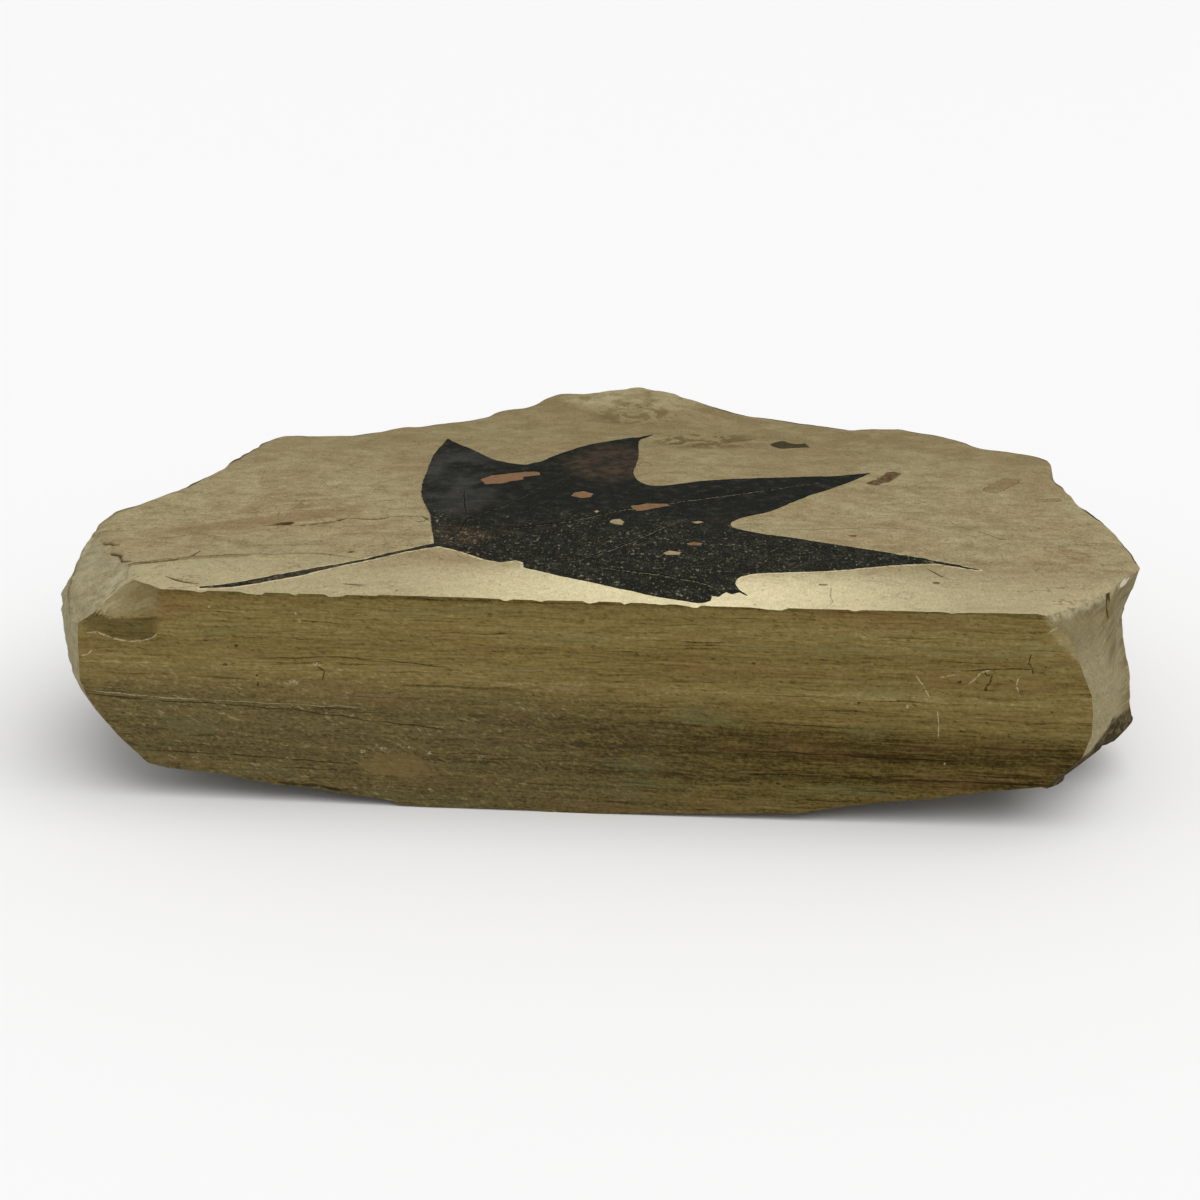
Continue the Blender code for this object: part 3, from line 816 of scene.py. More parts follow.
def worn_face_height(plan, broken_rim):
    """Height of the split face, worn and lumpy along its broken rim and nicked along the saw cut."""
    to_rim = distance_to(plan, broken_rim)
    y = plan[:, 1]
    height = face_surface(plan[:, 0], y)
    worn = RIM_WEAR + RIM_WEAR_SWING * soft_noise(flat(plan), 13.0, 71)
    height -= worn * np.maximum(0.0, 1.0 - to_rim / (2.5 + 1.6 * worn)) ** 2
    lumps = LUMP_HEIGHT * rough_noise(flat(plan), 3.2, 72, octaves=2)
    lumps = lumps * ramp(4.5, 1.0, to_rim) * ramp(55.0, 40.0, y)
    nicks = NICK_DEPTH * np.maximum(0.0, soft_noise(flat(plan), 4.0, 73) - 0.35) * ramp(1.2, 0.2, y)
    height += np.minimum(lumps, 0.3) - nicks
    return height


def split_face(rim):
    """The split face inside a rim in plan: points with the rim first, heights, line tints and triangles."""
    strokes = face_strokes()
    stroke_points = strokes.all_points()
    grid = grid_inside(rim, SPLIT_GRID, 0.8, 5, keep_off=[stroke_points])
    plan, faces = triangulated(rim, np.vstack((stroke_points, grid)), strokes.shifted_edges(len(rim)))
    height = worn_face_height(plan, rim[SAWN_COLUMNS:])
    tint = np.zeros(len(plan))
    span = slice(len(rim), len(rim) + len(stroke_points))
    height[span] += strokes.values("lift")
    tint[span] = strokes.values("tint")
    return plan, height, tint, faces


def flank_faces(count):
    """The faces between neighbouring columns, and what surface each belongs to."""
    stride = LEVELS + 1
    faces = []
    for c in range(count):
        d = (c + 1) % count
        for j in range(LEVELS):
            faces.append((c * stride + j, d * stride + j, d * stride + j + 1, c * stride + j + 1))
    kinds = np.full(count, BROKEN)
    kinds[:SAWN_COLUMNS - 1] = SAWN
    return faces, np.repeat(kinds, LEVELS)


def cap_faces(faces, count, ring_level, first):
    """A cap's faces in the whole mesh: its rim is a level of the columns, its other points follow first."""
    stride = LEVELS + 1
    return [
        tuple(i * stride + ring_level if i < count else first + i - count for i in face)
        for face in faces
    ]


def flank_masks(columns):
    """Masks of the sawn face and the broken side, for each point of their columns."""
    count, stride = columns.shape[:2]
    x, z = columns[..., 0], columns[..., 2]
    points = columns.reshape(-1, 3)
    shares = np.concatenate((np.zeros(SAWN_COLUMNS), side_shares()[1:-1]))
    edge = belly_edge(np.repeat(shares, stride), points).reshape(count, stride)
    near_corner = ramp(END_SHARE, 0.8 * END_SHARE, np.minimum(shares, 1.0 - shares))[:, None]
    below_top = THICKNESS - z + 0.7 * soft_noise(points, 3.0, 45).reshape(count, stride)
    return {
        "wedge": np.clip(wedge_depth(x, z) / 1.2, 0.0, 1.0),
        "bevel": np.clip(bevel_width(x, z), 0.0, 1.0),
        # The flake mask places painted shade in the flake scar.
        "flake": in_flake(x, z),
        # The undercut mask places painted shade under the belly's lower edge.
        "undercut": ramp(edge + 0.5, edge - 0.9, z),
        "crumbly": ramp(3.2, 1.6, below_top) * near_corner,
        "clean": np.broadcast_to(near_corner, z.shape),
    }


def face_masks(plan, in_chip, line_tint):
    """Masks of the split face, for each of its points."""
    from_leaf = np.abs(beyond(plan, leaf_outline()) - 0.4)
    return {
        "clean": in_chip * 1.0,
        # Tint of the lines: the cracks' tint is painted shade, the fine lines' tint is their own colour.
        "line": line_tint,
        "brown": near_runs(plan, BROWN_STAINS),
        "faint": near_runs(plan, FAINT_STAINS),
        "brown_hole": near_outlines(plan, BROWN_HOLES),
        "cream_hole": near_outlines(plan, CREAM_HOLES),
        "by_leaf": np.clip(1.0 - from_leaf / 4.0, 0.0, 1.0),
    }


def make_block(materials):
    """The block: upright columns all round, capped by the split face and the underside."""
    levels = np.linspace(0.0, THICKNESS + HUMP_HEIGHT + HEADROOM, DENSE_LEVELS)
    columns = cut_at_face(np.concatenate((sawn_columns(levels), side_columns(levels))))
    count = len(columns)
    plan, height, line_tint, top_faces = split_face(columns[:, -1, :2])
    columns[:, -1, 2] = height[:count]
    foot = columns[:, 0]
    low_plan, low_faces = triangulated(foot[:, :2], grid_inside(foot[:, :2], UNDERSIDE_GRID, 1.5, 6))
    low_height = underside_height(low_plan, foot)
    points = np.vstack((
        columns.reshape(-1, 3),
        np.column_stack((plan, height))[count:],
        np.column_stack((low_plan, low_height))[count:],
    ))

    in_chip = chip_ceiling(*plan.T) < THICKNESS + swell_height(*plan.T) - 0.4
    first_top = count * (LEVELS + 1)
    first_low = first_top + len(plan) - count
    faces, kinds = flank_faces(count)
    faces += cap_faces(top_faces, count, LEVELS, first_top)
    faces += cap_faces([face[::-1] for face in low_faces], count, 0, first_low)
    top_kinds = [BROKEN if in_chip[list(face)].all() else SPLIT for face in top_faces]
    kinds = np.concatenate((kinds, top_kinds, np.full(len(low_faces), BROKEN)))

    on_flank = flank_masks(columns)
    on_face = face_masks(plan, in_chip, line_tint)
    masks = {name: np.zeros(len(points)) for name in (*on_flank, *on_face)}
    for name, values in on_flank.items():
        masks[name][:first_top] += values.ravel()
    for name, values in on_face.items():
        masks[name][LEVELS:first_top:LEVELS + 1] += values[:count]
        masks[name][first_top:first_low] += values[count:]
    return make_mesh_object("limestone_plate", points, faces, materials, kinds, masks)


def leaf_outline():
    """The blade's curved edge, and the stalk running out to the sawn edge."""
    blade = curved(LEAF_OUTLINE, CURVE_STEPS)[: -CURVE_STEPS + 1]
    return blade + STALK_LOWER + STALK_UPPER


def ragged(outline, step, amount, seed):
    """A closed outline in short steps, each moved a little in or out."""
    drawn = closed_walk(outline, step)
    normal = side_normals(drawn, closed=True)
    out = amount * (soft_noise(flat(drawn), 3.2, seed) + 0.6 * soft_noise(flat(drawn), 1.3, seed + 1))
    return drawn + normal * out[:, None]


def film_plan(outline, holes, veins, seed):
    """A film in plan: its points, its triangles, its veins and the index of their first point."""
    rim = ragged(outline, 0.8, 0.22, seed)
    bounds = [ragged(hole, 0.7, 0.3, seed + 5 + i) for i, hole in enumerate(holes)]
    strokes = Strokes()
    for i, (half_width, lift, run) in enumerate(veins):
        strokes.add(run, half_width, lift, 1.0, 300 + i)
    fixed = list(bounds)
    edges = []
    first = len(rim)
    for bound in bounds:
        edges += [(first + i, first + (i + 1) % len(bound)) for i in range(len(bound))]
        first += len(bound)
    if veins:
        fixed.append(strokes.all_points())
        edges += strokes.shifted_edges(first)
    grid = grid_inside(rim, LEAF_GRID, 0.45, seed + 3, keep_off=fixed)
    plan, faces = triangulated(rim, np.vstack((*fixed, grid)), edges)
    middles = plan[np.array(faces)].mean(axis=1)
    in_hole = np.zeros(len(faces), bool)
    for bound in bounds:
        in_hole |= inside(middles, bound)
    return plan, [face for face, left_out in zip(faces, in_hole) if not left_out], strokes, first


def closed_sheet(plan, top, bottom, faces):
    """The points and faces of a closed sheet between two heights over triangles in plan."""
    layer = len(plan)
    points = np.vstack((np.column_stack((plan, top)), np.column_stack((plan, bottom))))
    lower = [tuple(i + layer for i in reversed(face)) for face in faces]
    sides = dict.fromkeys((a, b) for face in faces for a, b in zip(face, face[1:] + face[:1]))
    walls = [(b, a, a + layer, b + layer) for a, b in sides if (b, a) not in sides]
    return points, faces + lower + walls


def make_film(name, outline, holes, veins, material, seed):
    """A closed thin film on the split face, with holes through it and raised veins."""
    plan, faces, strokes, first = film_plan(outline, holes, veins, seed)
    height = face_surface(*plan.T)
    broad, fine = FILM_CRUMPLE
    crumple = broad * soft_noise(flat(plan), 7.0, seed + 7) + fine * soft_noise(flat(plan), 2.6, seed + 8)
    top = height + FILM_PROUD + crumple
    vein = np.zeros(len(plan))
    if veins:
        span = slice(first, first + len(strokes.all_points()))
        top[span] += strokes.values("lift")
        vein[span] = strokes.values("tint")

    used = np.unique(np.array(faces))
    number = {int(old): new for new, old in enumerate(used)}
    faces = [tuple(number[i] for i in face) for face in faces]
    points, faces = closed_sheet(plan[used], top[used], (height - FILM_SUNK)[used], faces)
    attributes = {"vein": np.tile(vein[used], 2)}
    return make_mesh_object(name, points, faces, [material], np.zeros(len(faces), int), attributes)


# Materials

STONE_SPECULAR = 0.08


def tone(red, green, blue):
    """A colour given as it shows on screen, from 0 to 255, in linear light."""
    def linear(value):
        value /= 255.0
        return value / 12.92 if value <= 0.04045 else ((value + 0.055) / 1.055) ** 2.4
    return (linear(red), linear(green), linear(blue), 1.0)


class Graph:
    """A material's nodes, with a short call for each kind of node that the stone needs."""

    def __init__(self, name):
        self.material = bpy.data.materials.new(name)
        self.material.use_nodes = True
        self.tree = self.material.node_tree
        self.shader = self.tree.nodes["Principled BSDF"]

    def feed(self, socket, value):
        """Links a node's output to a socket, or sets the socket's own value."""
        if isinstance(value, bpy.types.NodeSocket):
            self.tree.links.new(value, socket)
        else:
            socket.default_value = value

    def node(self, kind, inputs, output=0, **settings):
        """Adds a node with its inputs and settings, and gives one of its outputs."""
        node = self.tree.nodes.new(kind)
        for key, value in settings.items():
            setattr(node, key, value)
        for key, value in inputs.items():
            self.feed(node.inputs[key], value)
        return node.outputs[output]

    def math(self, operation, *values):
        return self.node("ShaderNodeMath", dict(enumerate(values)), operation=operation)

    def chain(self, operation, values):
        """All the values joined one after another by a math operation."""
        total = values[0]
        for value in values[1:]:
            total = self.math(operation, total, value)
        return total

    def add(self, *values):
        return self.chain("ADD", values)

    def times(self, *values):
        return self.chain("MULTIPLY", values)

    def most(self, *values):
        return self.chain("MAXIMUM", values)

    def drawing(self):
        """The place on the surface, in the drawing's millimetres."""
        place = self.node("ShaderNodeTexCoord", {}, output="Object")
        inputs = {0: place, 1: (1.0 / MM,) * 3, 2: tuple(-SHIFT)}
        return self.node("ShaderNodeVectorMath", inputs, operation="MULTIPLY_ADD")

    def parts(self, vector):
        node = self.tree.nodes.new("ShaderNodeSeparateXYZ")
        self.feed(node.inputs[0], vector)
        return node.outputs[0], node.outputs[1], node.outputs[2]

    def vector(self, x, y, z):
        return self.node("ShaderNodeCombineXYZ", {0: x, 1: y, 2: z})

    def noise(self, vector, size, detail=3.0, roughness=0.55, distortion=0.0):
        """Noise from about 0.2 to 0.8, with features of one size in millimetres, or a size an axis."""
        sizes = size if isinstance(size, tuple) else (size,) * 3
        inputs = {0: vector, 1: tuple(1.0 / s for s in sizes)}
        placed = self.node("ShaderNodeVectorMath", inputs, operation="MULTIPLY")
        return self.node("ShaderNodeTexNoise", {
            "Vector": placed, "Scale": 1.0, "Detail": detail, "Roughness": roughness,
            "Distortion": distortion,
        })

    def swing(self, value, amount):
        """Noise turned into a swing round 0, of about the given amount either way."""
        return self.math("MULTIPLY_ADD", value, amount * 4.0, -amount * 2.0)

    def rise(self, value, low, high, to_low=0.0, to_high=1.0):
        """A smooth rise or fall of the value between low and high."""
        if low > high:
            low, high, to_low, to_high = high, low, to_high, to_low
        inputs = {"Value": value, "From Min": low, "From Max": high, "To Min": to_low, "To Max": to_high}
        return self.node("ShaderNodeMapRange", inputs, interpolation_type="SMOOTHSTEP")

    def ramp(self, value, stops):
        """A colour ramp through (position, colour) stops."""
        node = self.tree.nodes.new("ShaderNodeValToRGB")
        self.feed(node.inputs[0], value)
        line = node.color_ramp.elements
        while len(line) < len(stops):
            line.new(1.0)
        for knot, (position, _) in zip(line, stops):
            knot.position = position
        for knot, (_, colour) in zip(line, stops):
            knot.color = colour
        return node.outputs[0]

    def curve(self, value, knots, low, high):
        """A number read from a table of (depth, number) pairs, as a grey ramp between low and high."""
        span = knots[-1][0]
        stops = [(at / span, ((number - low) / (high - low),) * 3 + (1.0,)) for at, number in knots]
        grey = self.ramp(self.math("DIVIDE", value, span), stops)
        return self.math("MULTIPLY_ADD", grey, high - low, low)

    def mix(self, factor, first, second):
        """The first colour at 0, the second at 1."""
        return self.node("ShaderNodeMix", {0: factor, 6: first, 7: second}, output=2, data_type="RGBA")

    def over(self, colour, other, *shares):
        """Another colour laid over the first, by the product of the shares."""
        return self.mix(self.times(*shares), colour, other)

    def scaled(self, colour, factor):
        return self.node("ShaderNodeVectorMath", {0: colour, "Scale": factor}, operation="SCALE")

    def attribute(self, name):
        """A mask that the mesh carries."""
        return self.node("ShaderNodeAttribute", {}, output="Fac", attribute_name=name)

    def turned(self, place, degrees):
        """The place turned about the Y axis, for marks that slant on the sawn face."""
        inputs = {"Vector": place, "Angle": math.radians(degrees)}
        return self.node("ShaderNodeVectorRotate", inputs, rotation_type="Y_AXIS")

    def plane(self, first, second):
        """Two coordinates and a 1, as spots and strokes take them."""
        return self.vector(first, second, 1.0)

    def across(self, plane, centre, turn, half_size):
        """How far a place lies from a centre along the direction at a turn, in half sizes."""
        along = (math.cos(turn) / half_size, math.sin(turn) / half_size)
        offset = -(along[0] * centre[0] + along[1] * centre[1])
        inputs = {0: plane, 1: (*along, offset)}
        return self.node("ShaderNodeVectorMath", inputs, output="Value", operation="DOT_PRODUCT")

    def spot(self, plane, centre, half_sizes, turn=0.0):
        """1 in an ellipse of a plane, 0 outside it; turn is in degrees."""
        turn = math.radians(turn)
        along = self.across(plane, centre, turn, half_sizes[0])
        beside = self.across(plane, centre, turn + math.pi / 2.0, half_sizes[1])
        squared = self.math("MULTIPLY_ADD", along, along, self.math("MULTIPLY", beside, beside))
        return self.rise(squared, 1.0, 0.3)

    def marks(self, plane, spots, strokes):
        """1 on the spots and on the strokes, 0 beside them. The most so far is kept after each one, since a
        shader can hold few values at a time."""
        total = 0.0
        for mark in spots:
            total = self.math("MAXIMUM", self.spot(plane, *mark), total)
        for half_width, run in strokes:
            for (ax, ay), (bx, by) in zip(run[:-1], run[1:]):
                centre = ((ax + bx) / 2.0, (ay + by) / 2.0)
                half_sizes = (0.62 * math.hypot(bx - ax, by - ay), half_width)
                turn = math.degrees(math.atan2(by - ay, bx - ax))
                total = self.math("MAXIMUM", self.spot(plane, centre, half_sizes, turn), total)
        return total

    def contours(self, noise, width):
        """1 on the thin lines where a noise passes its middle."""
        return self.rise(self.math("ABSOLUTE", self.math("SUBTRACT", noise, 0.5)), width, width * 0.3)

    def down_facing_shade(self):
        """1 where the surface faces down, 0 where it faces sideways or up: where painted shade goes."""
        normal = self.node("ShaderNodeNewGeometry", {}, output="Normal")
        return self.rise(self.parts(normal)[2], -0.05, -0.7)

    def finish(self, colour, height, relief, roughness):
        """Joins colour and bump to the shader: relief is the height's full depth in millimetres."""
        self.feed(self.shader.inputs["Base Color"], colour)
        self.shader.inputs["Roughness"].default_value = roughness
        inputs = {"Strength": 1.0, "Distance": relief * MM, "Height": height}
        self.feed(self.shader.inputs["Normal"], self.node("ShaderNodeBump", inputs, output="Normal"))
        self.shader.inputs["Specular IOR Level"].default_value = STONE_SPECULAR
        return self.material


# The sawn face's beds, as (depth below the split face, lightness): in its left, middle and right thirds.
BEDS_LEFT = [
    (0, 0.70), (3, 0.74), (9, 0.80), (16, 0.76), (18, 0.71), (22, 0.76), (27, 0.82), (33, 0.77), (37, 0.70),
    (39.5, 0.66), (43, 0.64), (47, 0.68), (53, 0.60), (57, 0.64), (60, 0.56), (65, 0.66), (70, 0.62),
    (80, 0.60),
]
BEDS_MIDDLE = [
    (0, 0.69), (3, 0.72), (9, 0.79), (15, 0.77), (17, 0.71), (19, 0.67), (21, 0.75), (25, 0.71), (28, 0.76),
    (31, 0.79), (34, 0.74), (36, 0.65), (41, 0.63), (43, 0.51), (47, 0.46), (49, 0.51), (53, 0.45),
    (57, 0.55), (60, 0.50), (61.5, 0.46), (65, 0.57), (72, 0.60), (80, 0.58),
]
BEDS_RIGHT = [
    (0, 0.70), (3, 0.74), (9, 0.80), (15, 0.77), (18, 0.69), (22, 0.75), (25, 0.70), (31, 0.83), (34, 0.74),
    (37, 0.70), (41, 0.69), (44, 0.52), (47, 0.47), (51, 0.42), (53.5, 0.42), (57, 0.54), (60, 0.47),
    (61.5, 0.41), (65, 0.57), (72, 0.58), (80, 0.56),
]
# Colour of the sawn stone by lightness.
SAWN_TONES = [
    (0.30, tone(50, 38, 13)), (0.42, tone(72, 59, 25)), (0.60, tone(103, 88, 47)),
    (0.80, tone(129, 111, 64)), (0.92, tone(141, 125, 80)), (1.0, tone(160, 146, 104)),
]
SAWN_RUSTY = tone(122, 92, 58)
SAWN_OLIVE = tone(108, 112, 74)
SAWN_GREY = tone(98, 90, 68)
SAWN_STAIN = tone(128, 108, 66)
MARK_PALE_AND_HIGHLIGHT = tone(184, 172, 136)
MARK_DARK = tone(38, 28, 12)
# Colours of the broken corners of the sawn face; the flake's colour is painted shade in its scar.
WEDGE_BROWN = tone(126, 111, 72)
WEDGE_PALE = tone(158, 147, 113)
FLAKE_PAINTED_SHADE = tone(84, 73, 42)[:3]
# How the flecks and the wedge's streaks slant, in degrees.
FLECK_SLANT = -22.0
WEDGE_SLANT = 24.0
# The tan stain at the foot: its torn part and its reach, as centre and half sizes.
LOW_STAIN = ((-68, -62.3), (15, 6.0))
LOW_STAIN_REACH = ((-68, -62.3), (24, 11))
# Marks of the sawn face, at (x, height against the split face): spots with their half sizes, and strokes
# with a half width.
PALE_SPOTS = [
    ((-129.6, -5.3), (1.0, 0.7)), ((-99.8, -6.7), (1.1, 0.6)), ((-98.9, -9.5), (0.7, 0.9)),
    ((-93.5, -25.5), (2.0, 0.8)), ((-102.2, -32.5), (1.9, 1.2)), ((-91, -43.8), (1.3, 0.7)),
    ((-71.8, -56.1), (1.7, 0.9)), ((-62.5, -55.5), (0.9, 0.7)), ((-79.3, -57.6), (1.3, 0.8)),
    ((-56, -57.2), (1.2, 1.0)), ((-106.1, -61.2), (1.4, 0.8)), ((-139.3, -62.5), (1.2, 0.9)),
    ((-56, -71.6), (0.9, 0.8)), ((107.3, -34.5), (0.6, 1.1)), ((121.1, -54.6), (0.5, 0.5)),
]
PALE_STROKES_AND_LIP_HIGHLIGHT = [
    (0.24, [(-175, -37.8), (-153.4, -39.4), (-136, -40)]),
    (0.14, [(-136, -40), (-104, -40.5), (-74.2, -41.3)]),
    (0.2, [(157.5, -61.3), (167, -61.1)]),
    (0.3, [(109.6, -23), (112.3, -26.6), (114.6, -30.6)]),
    (0.25, [(117.4, -35), (118.2, -41), (118.2, -45.3)]),
    (0.3, [(117.5, -23.1), (119.5, -22.7), (122.5, -21.8)]),
    (0.3, [(127.1, -25.2), (129.4, -22.8), (130.9, -21), (133.7, -20.2)]),
    (0.3, [(143.3, -22.4), (142.7, -25.5), (143.7, -27.8)]),
    (0.3, [(151.5, -6.3), (154, -4.8), (156.5, -4.4)]),
    (0.35, [(-176.6, -25), (-174.1, -24.2), (-172.5, -22.7)]),
    # A painted highlight along the flake scar's lower lip.
    (0.32, [(-173.5, -16.3), (-170, -16), (-165, -18.3), (-159.5, -19), (-154.5, -18.8), (-151, -17.6),
            (-148.8, -15.8)]),
]
DARK_SPOTS = [
    ((-121.5, -19.7), (0.9, 0.7)), ((-125.9, -26.5), (1.0, 0.6)), ((-114.9, -30.1), (0.6, 0.6)),
    ((-114.8, -33.5), (0.5, 0.9)), ((-148, -3.2), (0.8, 0.5)), ((91.1, -33.4), (0.7, 0.5)),
    ((55.5, -20.3), (0.8, 0.5)), ((124.1, -24.5), (0.8, 0.7)), ((132.8, -27.2), (0.7, 0.6)),
]
DARK_STROKES = [
    (0.3, [(-93.7, -26.2), (-91.2, -27.9), (-92, -31.2)]),
    (0.45, [(134.5, -21.8), (134, -24.9), (132.9, -25.9), (132.6, -27.4)]),
    (0.3, [(132, -21.1), (133, -22.3), (133.8, -21.8)]),
    (0.28, [(146.7, -13.8), (146.1, -16.9), (147.5, -19.1), (147.9, -21.3)]),
    (0.28, [(51.7, -52.2), (84, -52.9), (102.6, -53.6), (127.8, -53.6)]),
    (0.4, [(51.9, -61.2), (82.7, -60.9), (103, -61.4), (128.3, -61.4), (153.5, -61.5)]),
    (0.25, [(-175, -39.2), (-153.4, -40.7), (-129.5, -41.3), (-104, -42.6), (-74.2, -46), (-48.3, -48.2)]),
    (0.25, [(-155.2, -60), (-130.1, -60.5), (-110.5, -61.2), (-84, -62.6)]),
    (0.3, [(125.5, -20.7), (137.7, -19.4), (148.4, -19.3)]),
    (0.22, [(-109.9, -23.9), (-90.7, -22.6), (-73.4, -22.7), (-47.6, -25.1)]),
    (0.8, [(-110.3, -70.7), (-102.2, -71.2), (-95.1, -71.6), (-87, -73)]),
]


def sawn_face_material():
    """The saw cut: beds by their depth, laminae, grain and flecks, then marks and broken corners, with
    painted shade in the flake scar and a painted highlight on its lower lip.
    """
    g = Graph("sawn_face")
    place = g.drawing()
    x, _, z = g.parts(place)
    waver = g.swing(g.noise(place, (9.0, 9.0, 20.0), detail=2.0), 0.45)
    face = g.plane(x, g.add(z, -THICKNESS, waver))
    pale_spots = g.marks(face, PALE_SPOTS, [])
    pale_marks_and_lip_highlight = g.marks(face, [], PALE_STROKES_AND_LIP_HIGHLIGHT)
    dark = g.marks(face, DARK_SPOTS, DARK_STROKES)
    depth = g.math("SUBTRACT", THICKNESS, z)
    dip = g.times(x, g.rise(depth, 22.0, 44.0, 0.0, 0.011))
    wander = g.swing(g.noise(place, (110.0, 110.0, 60.0), detail=2.0), 0.9)
    bed = g.math("SUBTRACT", g.add(depth, wander), dip)
    left = g.curve(bed, BEDS_LEFT, 0.0, 1.0)
    middle = g.curve(bed, BEDS_MIDDLE, 0.0, 1.0)
    right = g.curve(bed, BEDS_RIGHT, 0.0, 1.0)
    beds = g.mix(g.rise(x, -75.0, 20.0), left, middle)
    beds = g.over(beds, right, g.rise(x, 40.0, 100.0))

    wavy = g.add(bed, g.swing(g.noise(place, (13.0, 13.0, 4.0), detail=2.0), 0.5))
    layered = g.vector(x, 0.0, wavy)
    thin = g.swing(g.noise(layered, (11.0, 1.0, 0.75), detail=2.0, roughness=0.65), 0.16)
    laminae = g.add(
        g.math("MINIMUM", thin, 0.05),
        g.swing(g.noise(layered, (38.0, 1.0, 1.4), detail=2.0, roughness=0.6), 0.09),
        g.swing(g.noise(layered, (120.0, 1.0, 3.6), detail=2.0), 0.05),
    )
    lower_left = g.times(g.rise(x, 90.0, -50.0), g.rise(depth, 24.0, 42.0))
    grain_strength = g.add(0.8, g.times(lower_left, 0.5))
    grain = g.add(
        g.swing(g.noise(place, (1.7, 1.7, 1.1), detail=3.0, roughness=0.75), 0.18),
        g.swing(g.noise(place, (5.0, 5.0, 2.2), detail=3.0), 0.07),
    )
    grain = g.times(grain, grain_strength)
    seams = g.times(
        g.rise(g.noise(layered, (60.0, 1.0, 1.0), detail=1.0), 0.40, 0.32),
        g.rise(g.noise(place, (26.0, 26.0, 5.0), detail=1.0), 0.42, 0.56),
    )

    slanted = g.turned(place, FLECK_SLANT)
    flecks = g.noise(slanted, (3.4, 4.0, 1.1), detail=4.0, roughness=0.7, distortion=0.5)
    clusters = g.noise(place, (20.0, 20.0, 8.0), detail=2.0)
    flecks = g.times(g.rise(flecks, 0.52, 0.63), g.rise(clusters, 0.38, 0.58, 0.5, 1.0))
    flecks = g.times(flecks, g.add(0.10, lower_left))
    pits = g.rise(g.noise(slanted, (3.0, 3.0, 0.8), detail=2.0), 0.40, 0.30)
    uneven_depth = g.add(depth, g.swing(g.noise(place, (6.0, 6.0, 1.0)), 0.6))
    lip_shade = g.times(g.rise(uneven_depth, 1.3, 0.5), -0.16)

    lightness = g.add(
        beds, laminae, grain, g.times(lower_left, -0.03), g.times(flecks, 0.36), g.times(pits, -0.18),
        g.times(seams, -0.22), lip_shade,
    )
    colour = g.ramp(lightness, SAWN_TONES)
    hue = g.noise(layered, (55.0, 1.0, 9.0), detail=2.0)
    colour = g.over(colour, SAWN_RUSTY, g.rise(hue, 0.52, 0.70), 0.35)
    colour = g.over(colour, SAWN_OLIVE, g.rise(hue, 0.46, 0.30), 0.3)
    colour = g.over(colour, g.scaled(colour, 0.98), lower_left, 0.35)
    colour = g.over(colour, SAWN_GREY, lower_left, 0.3)
    torn = g.swing(g.noise(place, (6.0, 6.0, 2.5), detail=4.0, roughness=0.65), 0.9)
    stain = g.rise(g.add(g.spot(face, *LOW_STAIN), torn), 0.35, 0.85)
    stain = g.times(stain, g.spot(face, *LOW_STAIN_REACH))
    colour = g.over(colour, SAWN_STAIN, stain, 0.55)

    broken = g.noise(place, 0.9, detail=2.0, roughness=0.7)
    pale_marks_and_lip_highlight = g.times(pale_marks_and_lip_highlight, g.rise(broken, 0.30, 0.55))
    pale = g.most(pale_marks_and_lip_highlight, g.times(pale_spots, g.rise(broken, 0.46, 0.58)))
    dark = g.times(dark, g.rise(broken, 0.25, 0.48))
    # Pale marks, and a painted highlight on the flake scar's lower lip.
    colour = g.over(colour, MARK_PALE_AND_HIGHLIGHT, pale, 0.75)
    colour = g.over(colour, MARK_DARK, dark, 0.75)

    streaks = g.rise(g.noise(g.turned(place, WEDGE_SLANT), (9.0, 9.0, 1.8), detail=3.0), 0.44, 0.62)
    facet = g.mix(g.times(streaks, 0.4), WEDGE_BROWN, WEDGE_PALE)
    facet = g.over(facet, WEDGE_PALE, g.rise(x, -157.0, -167.0), g.rise(streaks, 0.9, 0.1))
    facet = g.scaled(facet, g.add(1.0, grain))
    colour = g.over(colour, facet, g.attribute("wedge"), 0.95)
    # Painted shade in the flake scar under the wedge's ledge.
    flake = g.scaled(FLAKE_PAINTED_SHADE, g.add(1.0, g.times(laminae, 1.5), g.times(grain, 1.3)))
    colour = g.over(colour, flake, g.attribute("flake"), 0.65)
    colour = g.over(colour, WEDGE_PALE, g.attribute("bevel"), 0.35)
    height = g.add(
        laminae, g.times(grain, 1.2), g.times(flecks, 0.2), g.times(pits, -0.25), g.times(dark, -0.3),
    )
    return g.finish(colour, height, 0.7, 0.95)


STONE_TAN = tone(157, 145, 109)
STONE_WARM = tone(154, 137, 101)
STONE_BROWN = tone(124, 106, 72)
STONE_PALE = tone(182, 170, 132)
STONE_CREAM = tone(232, 219, 176)
# Colour of the split face's far part: painted shade.
STONE_BACK_SHADE = tone(126, 112, 78)
# Dark of the split face's lines: painted shade in the cracks, the stone's own colour on the fine lines.
CRACK_SHADE_AND_LINE_DARK = tone(72, 56, 34)
STAIN_BROWN = tone(78, 50, 26)
STAIN_FAINT = tone(120, 94, 60)
STAIN_OLIVE = tone(92, 76, 40)
HOLE_BROWN = tone(128, 98, 70)
HOLE_CREAM = tone(160, 140, 104)
# Patches of the split face, as centre, half sizes and turn in plan.
LONG_STAIN = ((-132, 80), (52, 8), 28.0)
SCAR_STAIN = ((34, 212), (28, 15), 10.0)
HUMP_STAIN = ((0, 248), (22, 17))
HUMP_PALE = ((0, 268), (44, 20))
FRAYED_TIP = ((47.0, 7.5), (17.0, 13.0))


